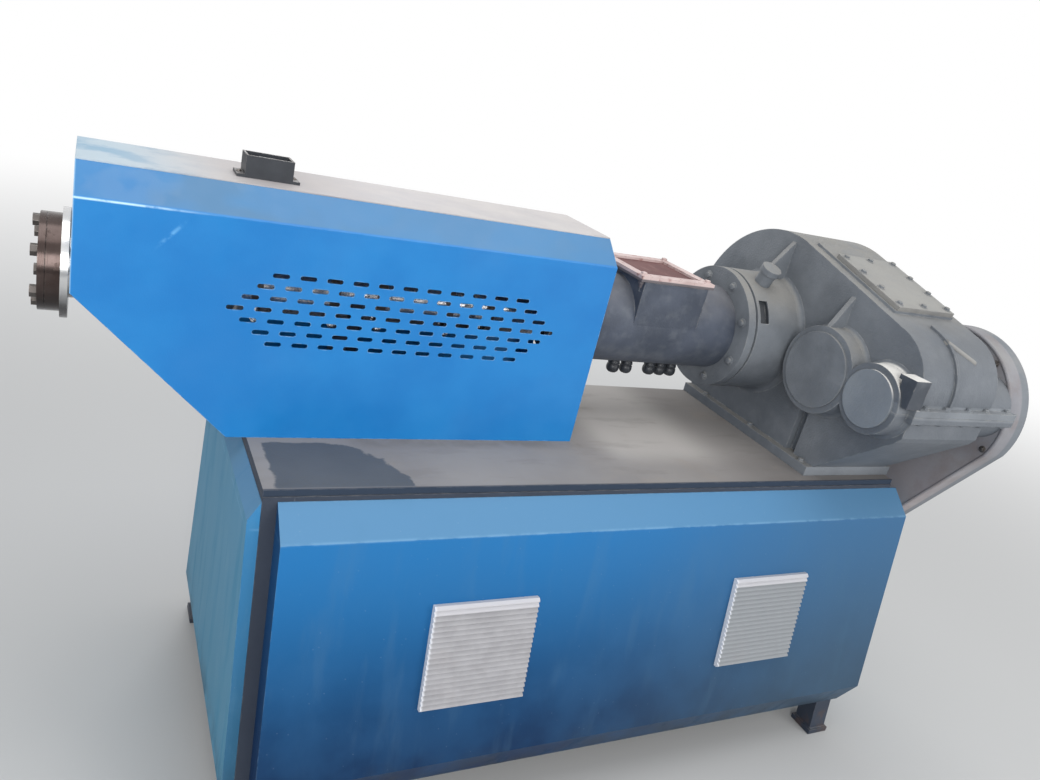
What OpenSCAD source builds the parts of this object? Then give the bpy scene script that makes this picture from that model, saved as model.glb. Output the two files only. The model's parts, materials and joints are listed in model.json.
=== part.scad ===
// Single-screw plastic extruder on a sheet-metal base
// Machine axes: x runs from the die end of the hood to the drive end,
// y is measured from the barrel axis, with the operator side at -y, and z from the floor

/* [Base] */
// How far the base reaches beyond the gearbox at the drive end
base_reach = 12; // [0:1:40]
// Depth of the table top
table_d = 490; // [440:1:560]
// Height of the table top above the floor
base_h = 670; // [620:1:760]
// How far the die end of the hood stands out beyond the base frame
hood_overhang = 275; // [200:1:340]
// Distance from the barrel axis to the front edge of the table
table_front = 324; // [290:1:360]
// Outward lean of the front and rear faces of the base, in degrees
lean = 8.5; // [0:0.5:12]
// Section of the square frame tube
tube = 50; // [40:1:60]
// Thickness of the table plate
table_t = 12; // [8:1:20]
// Thickness of the foot pads
pad_t = 12; // [6:1:20]
// How far a foot pad stands out round its post
pad_lip = 6; // [0:1:15]
// Height of the bottom rails above the floor
rail_z = 97; // [80:1:140]

/* [Base panels] */
// Thickness of the panel sheet
sheet = 2; // [1:0.5:3]
// Depth of the long side panels
panel_depth = 47; // [30:1:60]
// Height of the bevel along the top of a side panel
panel_top_run = 54; // [30:1:80]
// Height of the bevel along the bottom of a side panel
panel_bottom_run = 66; // [30:1:90]
// Bare edge of the table above the panels
panel_gap = 20; // [12:1:40]
// Length down the slope from the table top to the lower edge of a panel
panel_reach = 590; // [540:1:610]
// Post left bare beside the front panel at the die end
panel_margin = 24; // [10:1:50]
// Depth of the end panels
end_depth = 20; // [12:1:40]
// Height of the bevels of an end panel
end_run = 30; // [15:1:50]

/* [Grilles] */
// Side of a square louvre grille
grille = 205; // [150:1:230]
// Distance from the base's die end to the first grille
grille_x = 293; // [200:1:400]
// Distance between the two grilles, from left edge to left edge
grille_pitch = 678; // [500:1:760]
// Distance down the slope from the table top to the grilles
grille_s = 196; // [150:1:260]
// How far a grille stands out of its panel
grille_t = 12; // [8:1:20]
// Number of louvre blades
blades = 20; // [10:1:26]
// Width of the rim of a grille
grille_rim = 7; // [4:1:14]

/* [Hood] */
// Length of the hood
hood_l = 925; // [800:1:1000]
// Width of the hood
hood_w = 292; // [260:1:330]
// Height of the hood's upright side
hood_side_h = 375; // [350:1:420]
// Height of the hood to its flat top
hood_h = 421; // [400:1:470]
// Width of the bevel along each side of the hood
hood_bevel = 52; // [30:1:80]
// Height of the upright edge above the slanted corner cut
hood_cut_z = 233; // [180:1:300]
// Length of the slanted corner cut along the table
hood_cut_x = 241; // [180:1:275]
// Thickness of the hood sheet
hood_t = 2; // [1:0.5:3]
// Width of the folded flanges under the hood top
hood_flange = 18; // [12:1:30]

/* [Hood slots] */
// Spacing of the slots along a row
slot_pitch = 44.1; // [38:0.1:46]
// Spacing of the rows
slot_row = 19.6; // [16:0.1:24]
// Length of a slot
slot_l = 27; // [18:0.5:32]
// Height of a slot
slot_h = 7.5; // [4:0.5:11]
// Number of slots in the middle row
slot_mid = 14; // [8:1:14]
// Distance from the hood's die end to the middle of the slot field
slot_x = 519; // [500:1:540]
// Height of the middle row above the table
slot_z = 232; // [220:1:245]

/* [Connector base] */
// Distance from the hood's die end to the connector base
plug_x = 241; // [150:1:400]
// Place of its front face across the hood, from the barrel axis
plug_y = -47; // [-60:1:0]
// Length of the connector base
plug_l = 77; // [60:1:100]
// Width of the connector base
plug_w = 48; // [40:1:60]
// Height of the connector base
plug_h = 36; // [25:1:50]
// Length of each end of its fixing foot
plug_foot = 12; // [8:1:20]

/* [Barrel] */
// Height of the barrel axis above the table
axis_h = 235; // [225:1:270]
// Screw diameter
screw_d = 45; // [40:1:50]
// Outer diameter of the barrel
barrel_d = 110; // [95:1:120]
// Outer diameter of the polished barrel flange
flange_d = 176; // [170:1:200]
// Thickness of the barrel flange
flange_t = 11; // [8:1:16]
// Outer diameter of the adapter ring
adapter_d = 156; // [150:1:168]
// Thickness of the adapter ring
adapter_t = 31; // [24:1:40]
// Bolt circle of the adapter ring
adapter_pcd = 130; // [126:1:134]
// Diameter of the seat in the adapter ring that takes a die's spigot
seat_d = 60; // [50:1:70]
// Number of adapter bolts
adapter_bolts = 6; // [6:1:10]
// Width across the corners of a bolt head
bolt_d = 20; // [14:1:22]
// Height of a bolt head
bolt_h = 10; // [6:1:14]
// Thickness of a heater band
band_t = 8; // [5:1:12]
// Number of heater bands
bands = 4; // [3:1:5]
// Gap between heater bands
band_gap = 26; // [15:1:40]
// Distance from the hood's die end to the first heater band
band_start = 30; // [20:1:60]
// Width of the barrel support across the machine
support_w = 120; // [100:1:140]
// Gap between the barrel support and the heater band on each side
support_gap = 3; // [1:1:6]
// Clearance between a turning or sliding fit
fit = 0.3; // [0.1:0.1:0.5]

/* [Feed section] */
// Length of the feed housing, from the hood to the bearing housing
feed_l = 388; // [380:1:450]
// How far the feed housing reaches into the hood
feed_in = 30; // [20:1:45]
// Outer diameter of the feed housing
feed_d = 194; // [170:1:210]
// Distance from the hood to the hopper flange
hopper_gap = 99; // [80:1:110]
// Length of the hopper flange along the machine
hopper_l = 190; // [160:1:200]
// Width of the hopper flange across the machine
hopper_w = 196; // [170:1:220]
// Thickness of the hopper flange
hopper_t = 12; // [8:1:20]
// Height of the top of the hopper flange above the barrel axis
hopper_h = 120; // [115:1:150]
// Side of the square window in the hopper flange
inlet = 146; // [130:1:148]
// Hole spacing of the hopper flange
hopper_hole_pitch = 168; // [165:1:172]
// Diameter of the holes in the hopper flange
hopper_hole_d = 9; // [6:0.5:11]
// Depth of the tapped holes under the hopper flange
tap_depth = 24; // [16:1:30]
// Length of the feed throat along the screw
throat_l = 90; // [60:1:110]
// How far the inlet cover lies below the top of the flange
cover_drop = 5; // [2:0.5:7]
// Diameter of a water fitting
fitting_d = 22; // [16:1:26]
// How far the water fittings hang below the feed housing
fitting_drop = 22; // [12:1:30]
// Distance from the middle of the feed opening to the first water fitting
fitting_x = -35; // [-50:1:0]
// Spacing of the first two water fittings
fitting_pitch = 35; // [28:1:40]
// Distance from the second to the third water fitting
fitting_gap = 65; // [50:1:70]
// Spacing of the last three water fittings
fitting_step = 30; // [28:1:32]

/* [Thrust bearing housing] */
// Outer diameter of the bearing housing
bearing_d = 280; // [250:1:300]
// Length of the bearing housing from the gearbox face
bearing_l = 158; // [140:1:180]
// Width of its front flange
bearing_flange = 20; // [14:1:30]

/* [Gearbox] */
// Width of the gearbox housing along the machine
box_w = 236; // [210:1:250]
// Radius of the housing round the output gear
box_r = 245; // [235:1:260]
// Distance from the output shaft to the middle shaft
shaft_a = 250; // [240:1:260]
// Distance from the middle shaft to the input shaft
shaft_b = 150; // [140:1:160]
// Fall of the sloping top, in degrees
box_slope = 15.7; // [12:0.1:19]
// Distance from the output shaft to the housing's front end
box_front = 474; // [470:1:500]
// Radius of the rounded shoulder at the front end
shoulder_r = 120; // [90:1:130]
// Distance from the die-side face to the thin rib round the shoulder
edge_rib_x = 99; // [60:1:150]
// Width of that rib
edge_rib_w = 8; // [5:1:12]
// How far that rib stands out
edge_rib_h = 6; // [3:1:9]
// Height of the housing's underside at the front end, above the table
belly_z = 168; // [130:1:190]
// Thickness of each split flange
split_t = 15; // [10:1:20]
// Overhang of the split flanges at the front and the rear
split_lip = 14; // [10:1:30]
// Overhang of the split flanges along the machine
split_side = 12; // [8:1:20]
// Thickness of the foot flange
foot_t = 22; // [15:1:30]
// Overhang of the foot flange
foot_lip = 20; // [12:1:30]
// Diameter of the middle shaft boss
boss_mid_d = 192; // [170:1:204]
// Diameter of the input shaft boss
boss_in_d = 146; // [120:1:156]
// How far the front bosses stand out of the housing
boss_t = 46; // [30:1:60]
// How far the rear bosses stand out of the housing
rear_boss_t = 78; // [60:1:90]
// Rim of a boss outside its bearing cap
boss_rim = 13; // [8:1:18]
// Thickness of a bearing cap
cap_t = 5; // [3:1:8]
// Thickness of the ribs on the gearbox cover
rib_t = 12; // [8:1:18]
// Width of the raised pad under the inspection cover
pad_w = 186; // [180:1:200]
// Height of that pad
pad_h = 6; // [3:1:10]
// Width of the inspection cover along the machine
cover_w = 176; // [150:1:180]
// Length of the inspection cover down the slope
cover_l = 208; // [180:1:230]
// Distance down the slope from the round top to the inspection cover
cover_s = 62; // [50:1:80]
// Thickness of the inspection cover
cover_t = 10; // [6:1:16]

/* [Belt guard] */
// Thickness of the guard along the machine
guard_t = 68; // [50:1:90]
// Radius of the upper end of the guard
guard_r = 176; // [160:1:190]
// Radius of the lower end of the guard
guard_low_r = 120; // [100:1:140]
// Distance from the barrel axis to the upper centre of the guard
guard_y = 298; // [280:1:320]
// Height of the upper centre of the guard above the table
guard_z = 203; // [190:1:240]
// Distance between the upper and lower centres
guard_span = 640; // [560:1:680]
// Tilt of the guard from upright, in degrees
guard_tilt = 27; // [20:0.5:34]
// Thickness of the guard sheet
guard_sheet = 3; // [2:0.5:5]
// Depth of the back plate inside the guard's lip
guard_inset = 14; // [6:1:24]

/* [Motor] */
// Diameter of the motor body
motor_d = 250; // [200:1:280]
// Length of the motor body
motor_l = 380; // [300:1:440]
// Height of the motor shaft above its feet
motor_foot = 160; // [145:1:180]
// Length of the motor's fan cowl
cowl_l = 72; // [50:1:90]
// How far the fan cowl stands out round the motor body
cowl_lip = 5; // [3:1:10]

/* [Hidden] */
$fn = 64;
eps = 0.01;

// Stations along the machine
feed_x0 = hood_l - feed_in;
bearing_x0 = hood_l + feed_l;
box_x0 = bearing_x0 + bearing_l;
box_x1 = box_x0 + box_w;
base_x0 = hood_overhang;
base_x1 = box_x1 + base_reach;
base_l = base_x1 - base_x0;
guard_x0 = box_x1 + rear_boss_t;
x_min = -3 - flange_t - adapter_t - bolt_h;
x_max = guard_x0 + guard_t;

// Stations across the machine
front_y = -table_front;
rear_y = table_d - table_front;
y_min = -box_front - split_lip;
y_max = rear_point(panel_reach - panel_bottom_run, panel_depth)[0];

// Heights
axis_z = base_h + axis_h;
frame_top = base_h - table_t;
hopper_z = axis_z + hopper_h;

// Gearbox shaft positions across the machine
mid_y = -shaft_a;
in_y = -shaft_a - shaft_b;

// Lower centre of the guard, which is the motor's axis
motor_y = -guard_y + guard_span * sin(guard_tilt);
motor_z = base_h + guard_z - guard_span * cos(guard_tilt);
motor_x0 = base_x1 - tube - 60 - motor_l;
motor_base_z = motor_z - motor_foot;

// Heater bands and the gap that takes the barrel support
band_end = feed_x0 - 10;
band_w = (band_end - band_start - (bands - 1) * band_gap) / bands;
support_x = band_start + floor(bands / 2) * (band_w + band_gap) - band_gap;

// A point of the leaning front or rear face: s down the slope from the table edge, d outwards
function front_point(s, d) =
    [front_y - s * sin(lean) - d * cos(lean), base_h - s * cos(lean) + d * sin(lean)];
function rear_point(s, d) =
    [rear_y + s * sin(lean) + d * cos(lean), base_h - s * cos(lean) + d * sin(lean)];
function front_at(z) = front_y - (base_h - z) * tan(lean);
function rear_at(z) = rear_y + (base_h - z) * tan(lean);

// Points of a circular arc from angle a0 to a1
function arc(c, r, a0, a1, n) =
    [for (i = [0:n]) let (a = a0 + (a1 - a0) * i / n) [c[0] + r * cos(a), c[1] + r * sin(a)]];

// Puts the origin under the middle of the machine, on the floor
module at_origin() {
    translate([-(x_min + x_max) / 2, -(y_min + y_max) / 2, 0]) children();
}

// Extrudes an outline drawn in y and z along the machine
module along_x(x0, length) {
    translate([x0, 0, 0]) rotate([90, 0, 90]) linear_extrude(length) children();
}

// A cylinder along the machine at the height of the barrel
module rod(x0, length, d, y = 0, z = axis_z) {
    translate([x0, y, z]) rotate([0, 90, 0]) cylinder(d = d, h = length);
}

// Frame tubes
module front_bar(z0, z1) {
    polygon([
        [front_at(z0), z0], [front_at(z0) + tube, z0],
        [front_at(z1) + tube, z1], [front_at(z1), z1]
    ]);
}

module rear_bar(z0, z1) {
    polygon([
        [rear_at(z0) - tube, z0], [rear_at(z0), z0],
        [rear_at(z1), z1], [rear_at(z1) - tube, z1]
    ]);
}

module cross_bar(z0, z1) {
    polygon([
        [front_at(z0) + tube, z0], [rear_at(z0) - tube, z0],
        [rear_at(z1) - tube, z1], [front_at(z1) + tube, z1]
    ]);
}

module frame_posts() {
    color("dimgray")
    for (x = [base_x0, base_x1 - tube]) {
        along_x(x, tube) front_bar(pad_t, frame_top);
        along_x(x, tube) rear_bar(pad_t, frame_top);
    }
}

module frame_long_rails() {
    color("dimgray")
    for (z = [rail_z, frame_top - tube]) {
        along_x(base_x0 + tube, base_l - 2 * tube) front_bar(z, z + tube);
        along_x(base_x0 + tube, base_l - 2 * tube) rear_bar(z, z + tube);
    }
}

module frame_cross_rails() {
    color("dimgray") {
        for (x = [base_x0, base_x1 - tube], z = [rail_z, frame_top - tube])
            along_x(x, tube) cross_bar(z, z + tube);
        for (x = [motor_x0 + 60, motor_x0 + motor_l - 60 - tube])
            along_x(x, tube) cross_bar(rail_z, motor_base_z);
    }
}

module foot_pads() {
    side = tube + 2 * pad_lip;
    color("dimgray")
    for (x = [base_x0 - pad_lip, base_x1 - tube - pad_lip])
        for (y = [front_at(pad_t) - pad_lip, rear_at(pad_t) - tube - pad_lip])
            translate([x, y, 0]) cube([side, side, pad_t]);
}

module table_top() {
    color("rosybrown")
    translate([base_x0, front_y, frame_top]) cube([base_l, table_d, table_t]);
}

// Outline of a side panel: bevelled at the top and the bottom, t in from the outside
function panel_profile(t) =
    let (top = t * sqrt(1 + pow(panel_top_run / panel_depth, 2)))
    let (low = t * sqrt(1 + pow(panel_bottom_run / panel_depth, 2)))
    let (d = panel_depth - t)
    let (back = t > 0 ? -1 : 0)
    [
        [panel_gap + top + back * panel_top_run / panel_depth, back],
        [panel_gap + top + d * panel_top_run / panel_depth, d],
        [panel_reach - low - d * panel_bottom_run / panel_depth, d],
        [panel_reach - low - back * panel_bottom_run / panel_depth, back]
    ];

module side_panel(x0, length, front) {
    along_x(x0, length) polygon([for (p = panel_profile(0)) front ? front_point(p[0], p[1]) : rear_point(p[0], p[1])]);
}

module side_panel_inside(x0, length, front) {
    along_x(x0, length) polygon([for (p = panel_profile(sheet)) front ? front_point(p[0], p[1]) : rear_point(p[0], p[1])]);
}

// A square block on the leaning front face
module on_front(x, s, width, drop, d0, d1) {
    along_x(x, width) polygon([
        front_point(s, d0), front_point(s + drop, d0), front_point(s + drop, d1), front_point(s, d1)
    ]);
}

grille_x0 = base_x0 + grille_x;
grille_x1 = grille_x0 + grille_pitch;

module front_panel() {
    x0 = base_x0 + panel_margin;
    length = base_l - panel_margin + end_depth;
    hole = grille - 4 * grille_rim;
    color("dodgerblue")
    difference() {
        side_panel(x0, length, true);
        side_panel_inside(x0 + sheet, length - 2 * sheet, true);
        for (x = [grille_x0, grille_x1])
            on_front(x + 2 * grille_rim, grille_s + 2 * grille_rim, hole, hole, panel_depth - 2 * sheet, panel_depth + 1);
    }
}

module rear_panel() {
    x0 = base_x0 + panel_margin;
    length = base_l - 2 * panel_margin;
    color("dodgerblue")
    difference() {
        side_panel(x0, length, false);
        side_panel_inside(x0 + sheet, length - 2 * sheet, false);
    }
}

// Outline of an end panel seen along the machine
module end_outline(inset) {
    z1 = base_h - panel_gap - inset;
    z0 = base_h - panel_reach * cos(lean) + inset;
    polygon([
        [front_at(z0) + 1 + inset, z0], [rear_at(z0) - 1 - inset, z0],
        [rear_at(z1) - 1 - inset, z1], [front_at(z1) + 1 + inset, z1]
    ]);
}

// Bevelled block that an end panel is folded round, out to -x from x = 0
module end_block(t) {
    z1 = base_h - panel_gap - t;
    z0 = base_h - panel_reach * cos(lean) + t;
    d = end_depth - t;
    y0 = front_at(0) - 100;
    translate([0, rear_at(0) + 100, 0]) rotate([90, 0, 0])
    linear_extrude(rear_at(0) - y0 + 200)
        polygon([[t, z0], [t, z1], [0, z1], [-d, z1 - end_run], [-d, z0 + end_run], [0, z0]]);
}

module end_panel() {
    difference() {
        intersection() {
            along_x(-end_depth - 1, end_depth + 1) end_outline(0);
            end_block(0);
        }
        intersection() {
            along_x(-end_depth - 1, end_depth + 2) end_outline(sheet);
            end_block(sheet);
        }
    }
}

module left_end_panel() {
    color("dodgerblue") translate([base_x0, 0, 0]) end_panel();
}

module right_end_panel() {
    color("dodgerblue")
    difference() {
        translate([base_x1, 0, 0]) mirror([1, 0, 0]) end_panel();
        rod(base_x1 - 1, end_depth + 2, 60, motor_y, motor_z);
    }
}

// Louvre grille: a rim with sloping blades across it
module louvre(x) {
    pitch = grille / blades;
    d0 = panel_depth;
    d1 = panel_depth + grille_t;
    difference() {
        on_front(x, grille_s, grille, grille, d0, d1 - 4);
        on_front(x + grille_rim, grille_s + grille_rim, grille - 2 * grille_rim,
            grille - 2 * grille_rim, d0 - 1, d1);
    }
    for (i = [0:blades - 1])
        along_x(x, grille) polygon([
            front_point(grille_s + i * pitch, d1 - 4),
            front_point(grille_s + i * pitch + pitch * 0.45, d1),
            front_point(grille_s + i * pitch + pitch * 0.7, d1),
            front_point(grille_s + i * pitch + pitch, d1 - 4),
            front_point(grille_s + i * pitch + pitch, d1 - 6),
            front_point(grille_s + i * pitch, d1 - 6)
        ]);
}

module front_grille_left() {
    color("white") louvre(grille_x0);
}

module front_grille_right() {
    color("white") louvre(grille_x1);
}

module motor() {
    foot_w = 0.84 * motor_d;
    color("steelblue") {
        rod(motor_x0, motor_l, motor_d, motor_y, motor_z);
        rod(motor_x0, cowl_l, motor_d + 2 * cowl_lip, motor_y, motor_z);
        translate([motor_x0 + cowl_l + 8, motor_y - foot_w / 2, motor_base_z])
            cube([motor_l - cowl_l - 40, foot_w, motor_foot * 0.6]);
        translate([motor_x0 + motor_l - 190, motor_y - 60, motor_z])
            cube([130, 120, motor_d / 2 + 50]);
        rod(motor_x0 + motor_l - 1, guard_x0 + guard_inset + 1 - motor_x0 - motor_l, 42, motor_y, motor_z);
    }
}

// Bent sheet of one side of the hood, drawn for the operator side
module hood_profile() {
    w = hood_w / 2;
    k = hood_t * tan((90 - bevel_angle) / 2);
    m = hood_t * tan(bevel_angle / 2);
    polygon([
        [-w, base_h], [-w, base_h + hood_side_h], [-w + hood_bevel, base_h + hood_h - hood_t],
        [-w + hood_bevel + hood_flange, base_h + hood_h - hood_t],
        [-w + hood_bevel + hood_flange, base_h + hood_h - 2 * hood_t],
        [-w + hood_bevel + m, base_h + hood_h - 2 * hood_t],
        [-w + hood_t, base_h + hood_side_h - k], [-w + hood_t, base_h]
    ]);
}

bevel_angle = atan2(hood_h - hood_side_h - hood_t, hood_bevel);

// Rows of slots in an elongated hexagon, each row one slot shorter away from the middle
module slot_field() {
    for (row = [-3:3]) {
        count = slot_mid - abs(row);
        for (i = [0:count - 1])
            translate([slot_x + (i - (count - 1) / 2) * slot_pitch, 0, base_h + slot_z + row * slot_row])
                slot();
    }
}

module slot() {
    straight = slot_l - slot_h;
    translate([-straight / 2, -hood_w, -slot_h / 2]) cube([straight, hood_w, slot_h]);
    for (x = [-straight / 2, straight / 2])
        translate([x, 0, 0]) rotate([90, 0, 0]) cylinder(d = slot_h, h = hood_w, $fn = 24);
}

module hood_side() {
    difference() {
        along_x(0, hood_l) hood_profile();
        translate([0, -hood_w / 2 + hood_t + 1, 0]) rotate([90, 0, 0]) linear_extrude(hood_t + 2)
            polygon([
                [-1, base_h - 1], [hood_cut_x, base_h - 1], [hood_cut_x, base_h],
                [0, base_h + hood_cut_z], [-1, base_h + hood_cut_z]
            ]);
        slot_field();
    }
}

module hood_front_side() {
    color("dodgerblue") hood_side();
}

module hood_rear_side() {
    color("dodgerblue") mirror([0, 1, 0]) hood_side();
}

module hood_top() {
    w = hood_w / 2 - hood_bevel;
    color("whitesmoke")
    translate([0, -w, base_h + hood_h - hood_t]) cube([hood_l, 2 * w, hood_t]);
}

// End plate of the hood inside its bent sheets, notched over the barrel from height z0 down
module hood_end(x, z0, notch_d) {
    w = hood_w / 2 - hood_t;
    top = base_h + hood_h - 2 * hood_t - fit;
    side = base_h + hood_side_h - hood_t;
    difference() {
        along_x(x, hood_t) polygon([
            [-w, z0], [w, z0], [w, side], [w - hood_bevel, top], [-w + hood_bevel, top], [-w, side]
        ]);
        rod(x - 1, hood_t + 2, notch_d);
        translate([x - 1, -notch_d / 2, z0 - 1]) cube([hood_t + 2, notch_d, axis_z - z0 + 1]);
    }
}

module hood_die_end() {
    color("dodgerblue") hood_end(0, base_h + hood_cut_z, barrel_d + 2 * band_t);
}

module hood_feed_end() {
    color("dodgerblue") hood_end(hood_l - hood_t, base_h, feed_d + 6);
}

module connector_base() {
    wall = 4;
    color("black")
    translate([plug_x, plug_y, base_h + hood_h])
    difference() {
        union() {
            translate([-plug_foot, 0, 0]) cube([plug_l + 2 * plug_foot, plug_w, 5]);
            cube([plug_l, plug_w, plug_h]);
        }
        translate([wall, wall, 2 * wall]) cube([plug_l - 2 * wall, plug_w - 2 * wall, plug_h]);
    }
}

module barrel() {
    color("silver")
    difference() {
        rod(-3, feed_x0 + 3, barrel_d);
        rod(-4, feed_x0 + 5, screw_d + 2 * fit);
    }
}

module barrel_flange() {
    color("silver")
    difference() {
        rod(-3 - flange_t, flange_t, flange_d);
        rod(-4 - flange_t, flange_t + 2, screw_d + 2 * fit);
    }
}

module adapter_ring() {
    x0 = -3 - flange_t - adapter_t;
    color("peru")
    difference() {
        union() {
            rod(x0, 10, adapter_d);
            rod(x0 + 9, 3, adapter_d - 4);
            rod(x0 + 11, adapter_t - 11, adapter_d);
        }
        rod(x0 - 1, adapter_t + 2, seat_d);
    }
}

module flange_bolts() {
    x0 = x_min;
    color("gray")
    for (i = [0:adapter_bolts - 1])
        rotate_about_axis(90 + i * 360 / adapter_bolts)
            translate([x0, adapter_pcd / 2, axis_z]) rotate([0, 90, 0]) cylinder(d = bolt_d, h = bolt_h, $fn = 6);
}

module rotate_about_axis(a) {
    translate([0, 0, axis_z]) rotate([a, 0, 0]) translate([0, 0, -axis_z]) children();
}

module screw() {
    tip = 30;
    d = screw_d - 2 * fit;
    color("lightgray") {
        translate([0, 0, axis_z]) rotate([0, 90, 0]) cylinder(d1 = 4, d2 = d, h = tip);
        rod(tip, bearing_x0 + 18 - tip, d);
    }
}

module heater_bands() {
    color("gainsboro")
    for (i = [0:bands - 1]) {
        x = band_start + i * (band_w + band_gap);
        difference() {
            rod(x, band_w, barrel_d + 2 * band_t);
            rod(x - 1, band_w + 2, barrel_d);
        }
    }
}

module barrel_support() {
    x = support_x + support_gap;
    w = band_gap - 2 * support_gap;
    color("dimgray")
    difference() {
        translate([x, -support_w / 2, base_h]) cube([w, support_w, axis_h]);
        rod(x - 1, w + 2, barrel_d);
    }
}

// Middle of the feed opening
inlet_x = hood_l + hopper_gap + hopper_l / 2;

module feed_throat() {
    bore = screw_d + 2 * fit;
    neck_w = feed_d - 2;
    neck_l = hopper_l - 24;
    color("slategray")
    difference() {
        union() {
            rod(feed_x0, bearing_x0 - feed_x0, feed_d);
            translate([inlet_x - neck_l / 2, -neck_w / 2, axis_z]) cube([neck_l, neck_w, hopper_h - hopper_t]);
        }
        rod(feed_x0 - 1, bearing_x0 - feed_x0 + 2, bore);
        translate([inlet_x - throat_l / 2, -bore / 2, axis_z]) cube([throat_l, bore, hopper_h]);
        hopper_holes(hopper_z - hopper_t - tap_depth, tap_depth + 1, hopper_hole_d - 2);
    }
}

// The four fixing holes of the hopper flange
module hopper_holes(z, length, d) {
    for (dx = [-1, 1], dy = [-1, 1])
        translate([inlet_x + dx * hopper_hole_pitch / 2, dy * hopper_hole_pitch / 2, z])
            cylinder(d = d, h = length);
}

module hopper_flange() {
    color("mistyrose")
    difference() {
        translate([inlet_x - hopper_l / 2, -hopper_w / 2, hopper_z - hopper_t])
            cube([hopper_l, hopper_w, hopper_t]);
        translate([inlet_x - inlet / 2, -inlet / 2, hopper_z - hopper_t - 1])
            cube([inlet, inlet, hopper_t + 2]);
        hopper_holes(hopper_z - hopper_t - 1, hopper_t + 2, hopper_hole_d);
    }
}

module inlet_cover() {
    side = inlet - 2 * fit;
    color("firebrick")
    translate([inlet_x - side / 2, -side / 2, hopper_z - hopper_t])
        cube([side, side, hopper_t - cover_drop]);
}

// Round stub fittings under the feed housing, in two groups
module water_fittings() {
    x2 = fitting_x + fitting_pitch;
    x3 = x2 + fitting_gap;
    color("black")
    difference() {
        for (x = [fitting_x, x2, x3, x3 + fitting_step, x3 + 2 * fitting_step])
            translate([inlet_x + x, 0, axis_z - feed_d / 2 - fitting_drop])
                cylinder(d = fitting_d, h = fitting_drop + 8);
        rod(feed_x0, bearing_x0 - feed_x0, feed_d);
    }
}

module bearing_housing() {
    groove = 6;
    color("gray")
    difference() {
        union() {
            rod(bearing_x0, bearing_flange, bearing_d);
            rod(bearing_x0, bearing_l, bearing_d - 16);
            rod(bearing_x0 + bearing_flange + groove, bearing_l - bearing_flange - groove, bearing_d);
        }
        rod(bearing_x0 - 1, 20, screw_d + 2 * fit);
        rotate_about_axis(-34)
            translate([bearing_x0 + bearing_flange + 14, -bearing_d / 2 - 1, axis_z - 26]) cube([25, 12, 52]);
    }
}

module grease_cup() {
    stem_d = 38;
    color("gray")
    difference() {
        rotate_about_axis(22) translate([box_x0 - 86, 0, axis_z]) {
            cylinder(d = stem_d, h = bearing_d / 2 + 28);
            translate([0, 0, bearing_d / 2 + 28]) cylinder(d = stem_d + 8, h = 14);
        }
        rod(bearing_x0, bearing_l, bearing_d);
    }
}

// Slope of the gearbox top: its outward direction, and the centre of the front shoulder
slope_n = [-sin(box_slope), cos(box_slope)];
shoulder_y = -box_front + shoulder_r;
shoulder_z = axis_z + (box_r - shoulder_r - slope_n[0] * shoulder_y) / slope_n[1];

// The gearbox above its split plane, g larger all round
module upper_body(x0, length, g = 0) {
    r1 = box_r + g;
    r2 = shoulder_r + g;
    intersection() {
        union() {
            rod(x0, length, 2 * r1);
            rod(x0, length, 2 * r2, shoulder_y, shoulder_z);
            along_x(x0, length) polygon([
                [0, axis_z], [r1 * slope_n[0], axis_z + r1 * slope_n[1]],
                [shoulder_y + r2 * slope_n[0], shoulder_z + r2 * slope_n[1]],
                [shoulder_y, shoulder_z], [-box_front - g, shoulder_z], [-box_front - g, axis_z]
            ]);
        }
        translate([x0 - 1, -box_front - g - 1, axis_z]) cube([length + 2, box_front + r1 + g + 2, r1 + 1]);
    }
}

// Lower outline, from the split plane down to the foot
foot_y0 = front_y + 24;

module lower_outline() {
    polygon([
        [box_r, axis_z], [-box_front, axis_z], [-box_front, base_h + belly_z + 14],
        [-box_front + 9, base_h + belly_z], [foot_y0, base_h + foot_t], [foot_y0, base_h],
        [rear_y, base_h], [rear_y, base_h + foot_t], [box_r, axis_z - 60]
    ]);
}

// A flat block on the sloping top, from s down the slope, lift above it
module on_slope(s, length, width, lift, height) {
    translate([box_x0 + (box_w - width) / 2, box_r * slope_n[0], axis_z + box_r * slope_n[1]])
        rotate([box_slope, 0, 0])
        translate([0, -s - length, lift]) cube([width, length, height]);
}

// The halves of the bearing bosses above or below the split plane
module half_bosses(up) {
    z0 = up ? axis_z : axis_z - box_r;
    intersection() {
        union() {
            rod(box_x0 - boss_t, boss_t + 1, boss_mid_d, mid_y);
            rod(box_x0 - boss_t, boss_t + 1, boss_in_d, in_y);
            for (y = [0, in_y])
                rod(box_x1 - 1, rear_boss_t + 1, boss_in_d, y);
            rod(box_x1 - 1, split_side + 1, boss_mid_d, mid_y);
        }
        translate([box_x0 - boss_t, -box_front - 50, z0])
            cube([boss_t + box_w + rear_boss_t, box_front + box_r + 50, box_r]);
    }
}

// A split flange round the housing, cut away where the bearing housing stands
module split_flange(z0) {
    y0 = -box_front - split_lip;
    difference() {
        union() {
            translate([box_x0 - split_side, y0, z0])
                cube([box_w + 2 * split_side, box_r + split_lip - y0, split_t]);
            translate([box_x1, y0, z0]) cube([rear_boss_t - 1, in_y + boss_in_d / 2 - y0, split_t]);
        }
        rod(box_x0 - split_side - 1, split_side + 1, bearing_d);
    }
}

// An upright web that runs from a boss back to the housing's front face
module gusset(y, z, run, rise) {
    translate([0, y + rib_t / 2, 0]) rotate([90, 0, 0]) linear_extrude(rib_t)
        polygon([[box_x0 - run, z], [box_x0 + 1, z], [box_x0 + 1, z + rise], [box_x0, z + rise]]);
}

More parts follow.
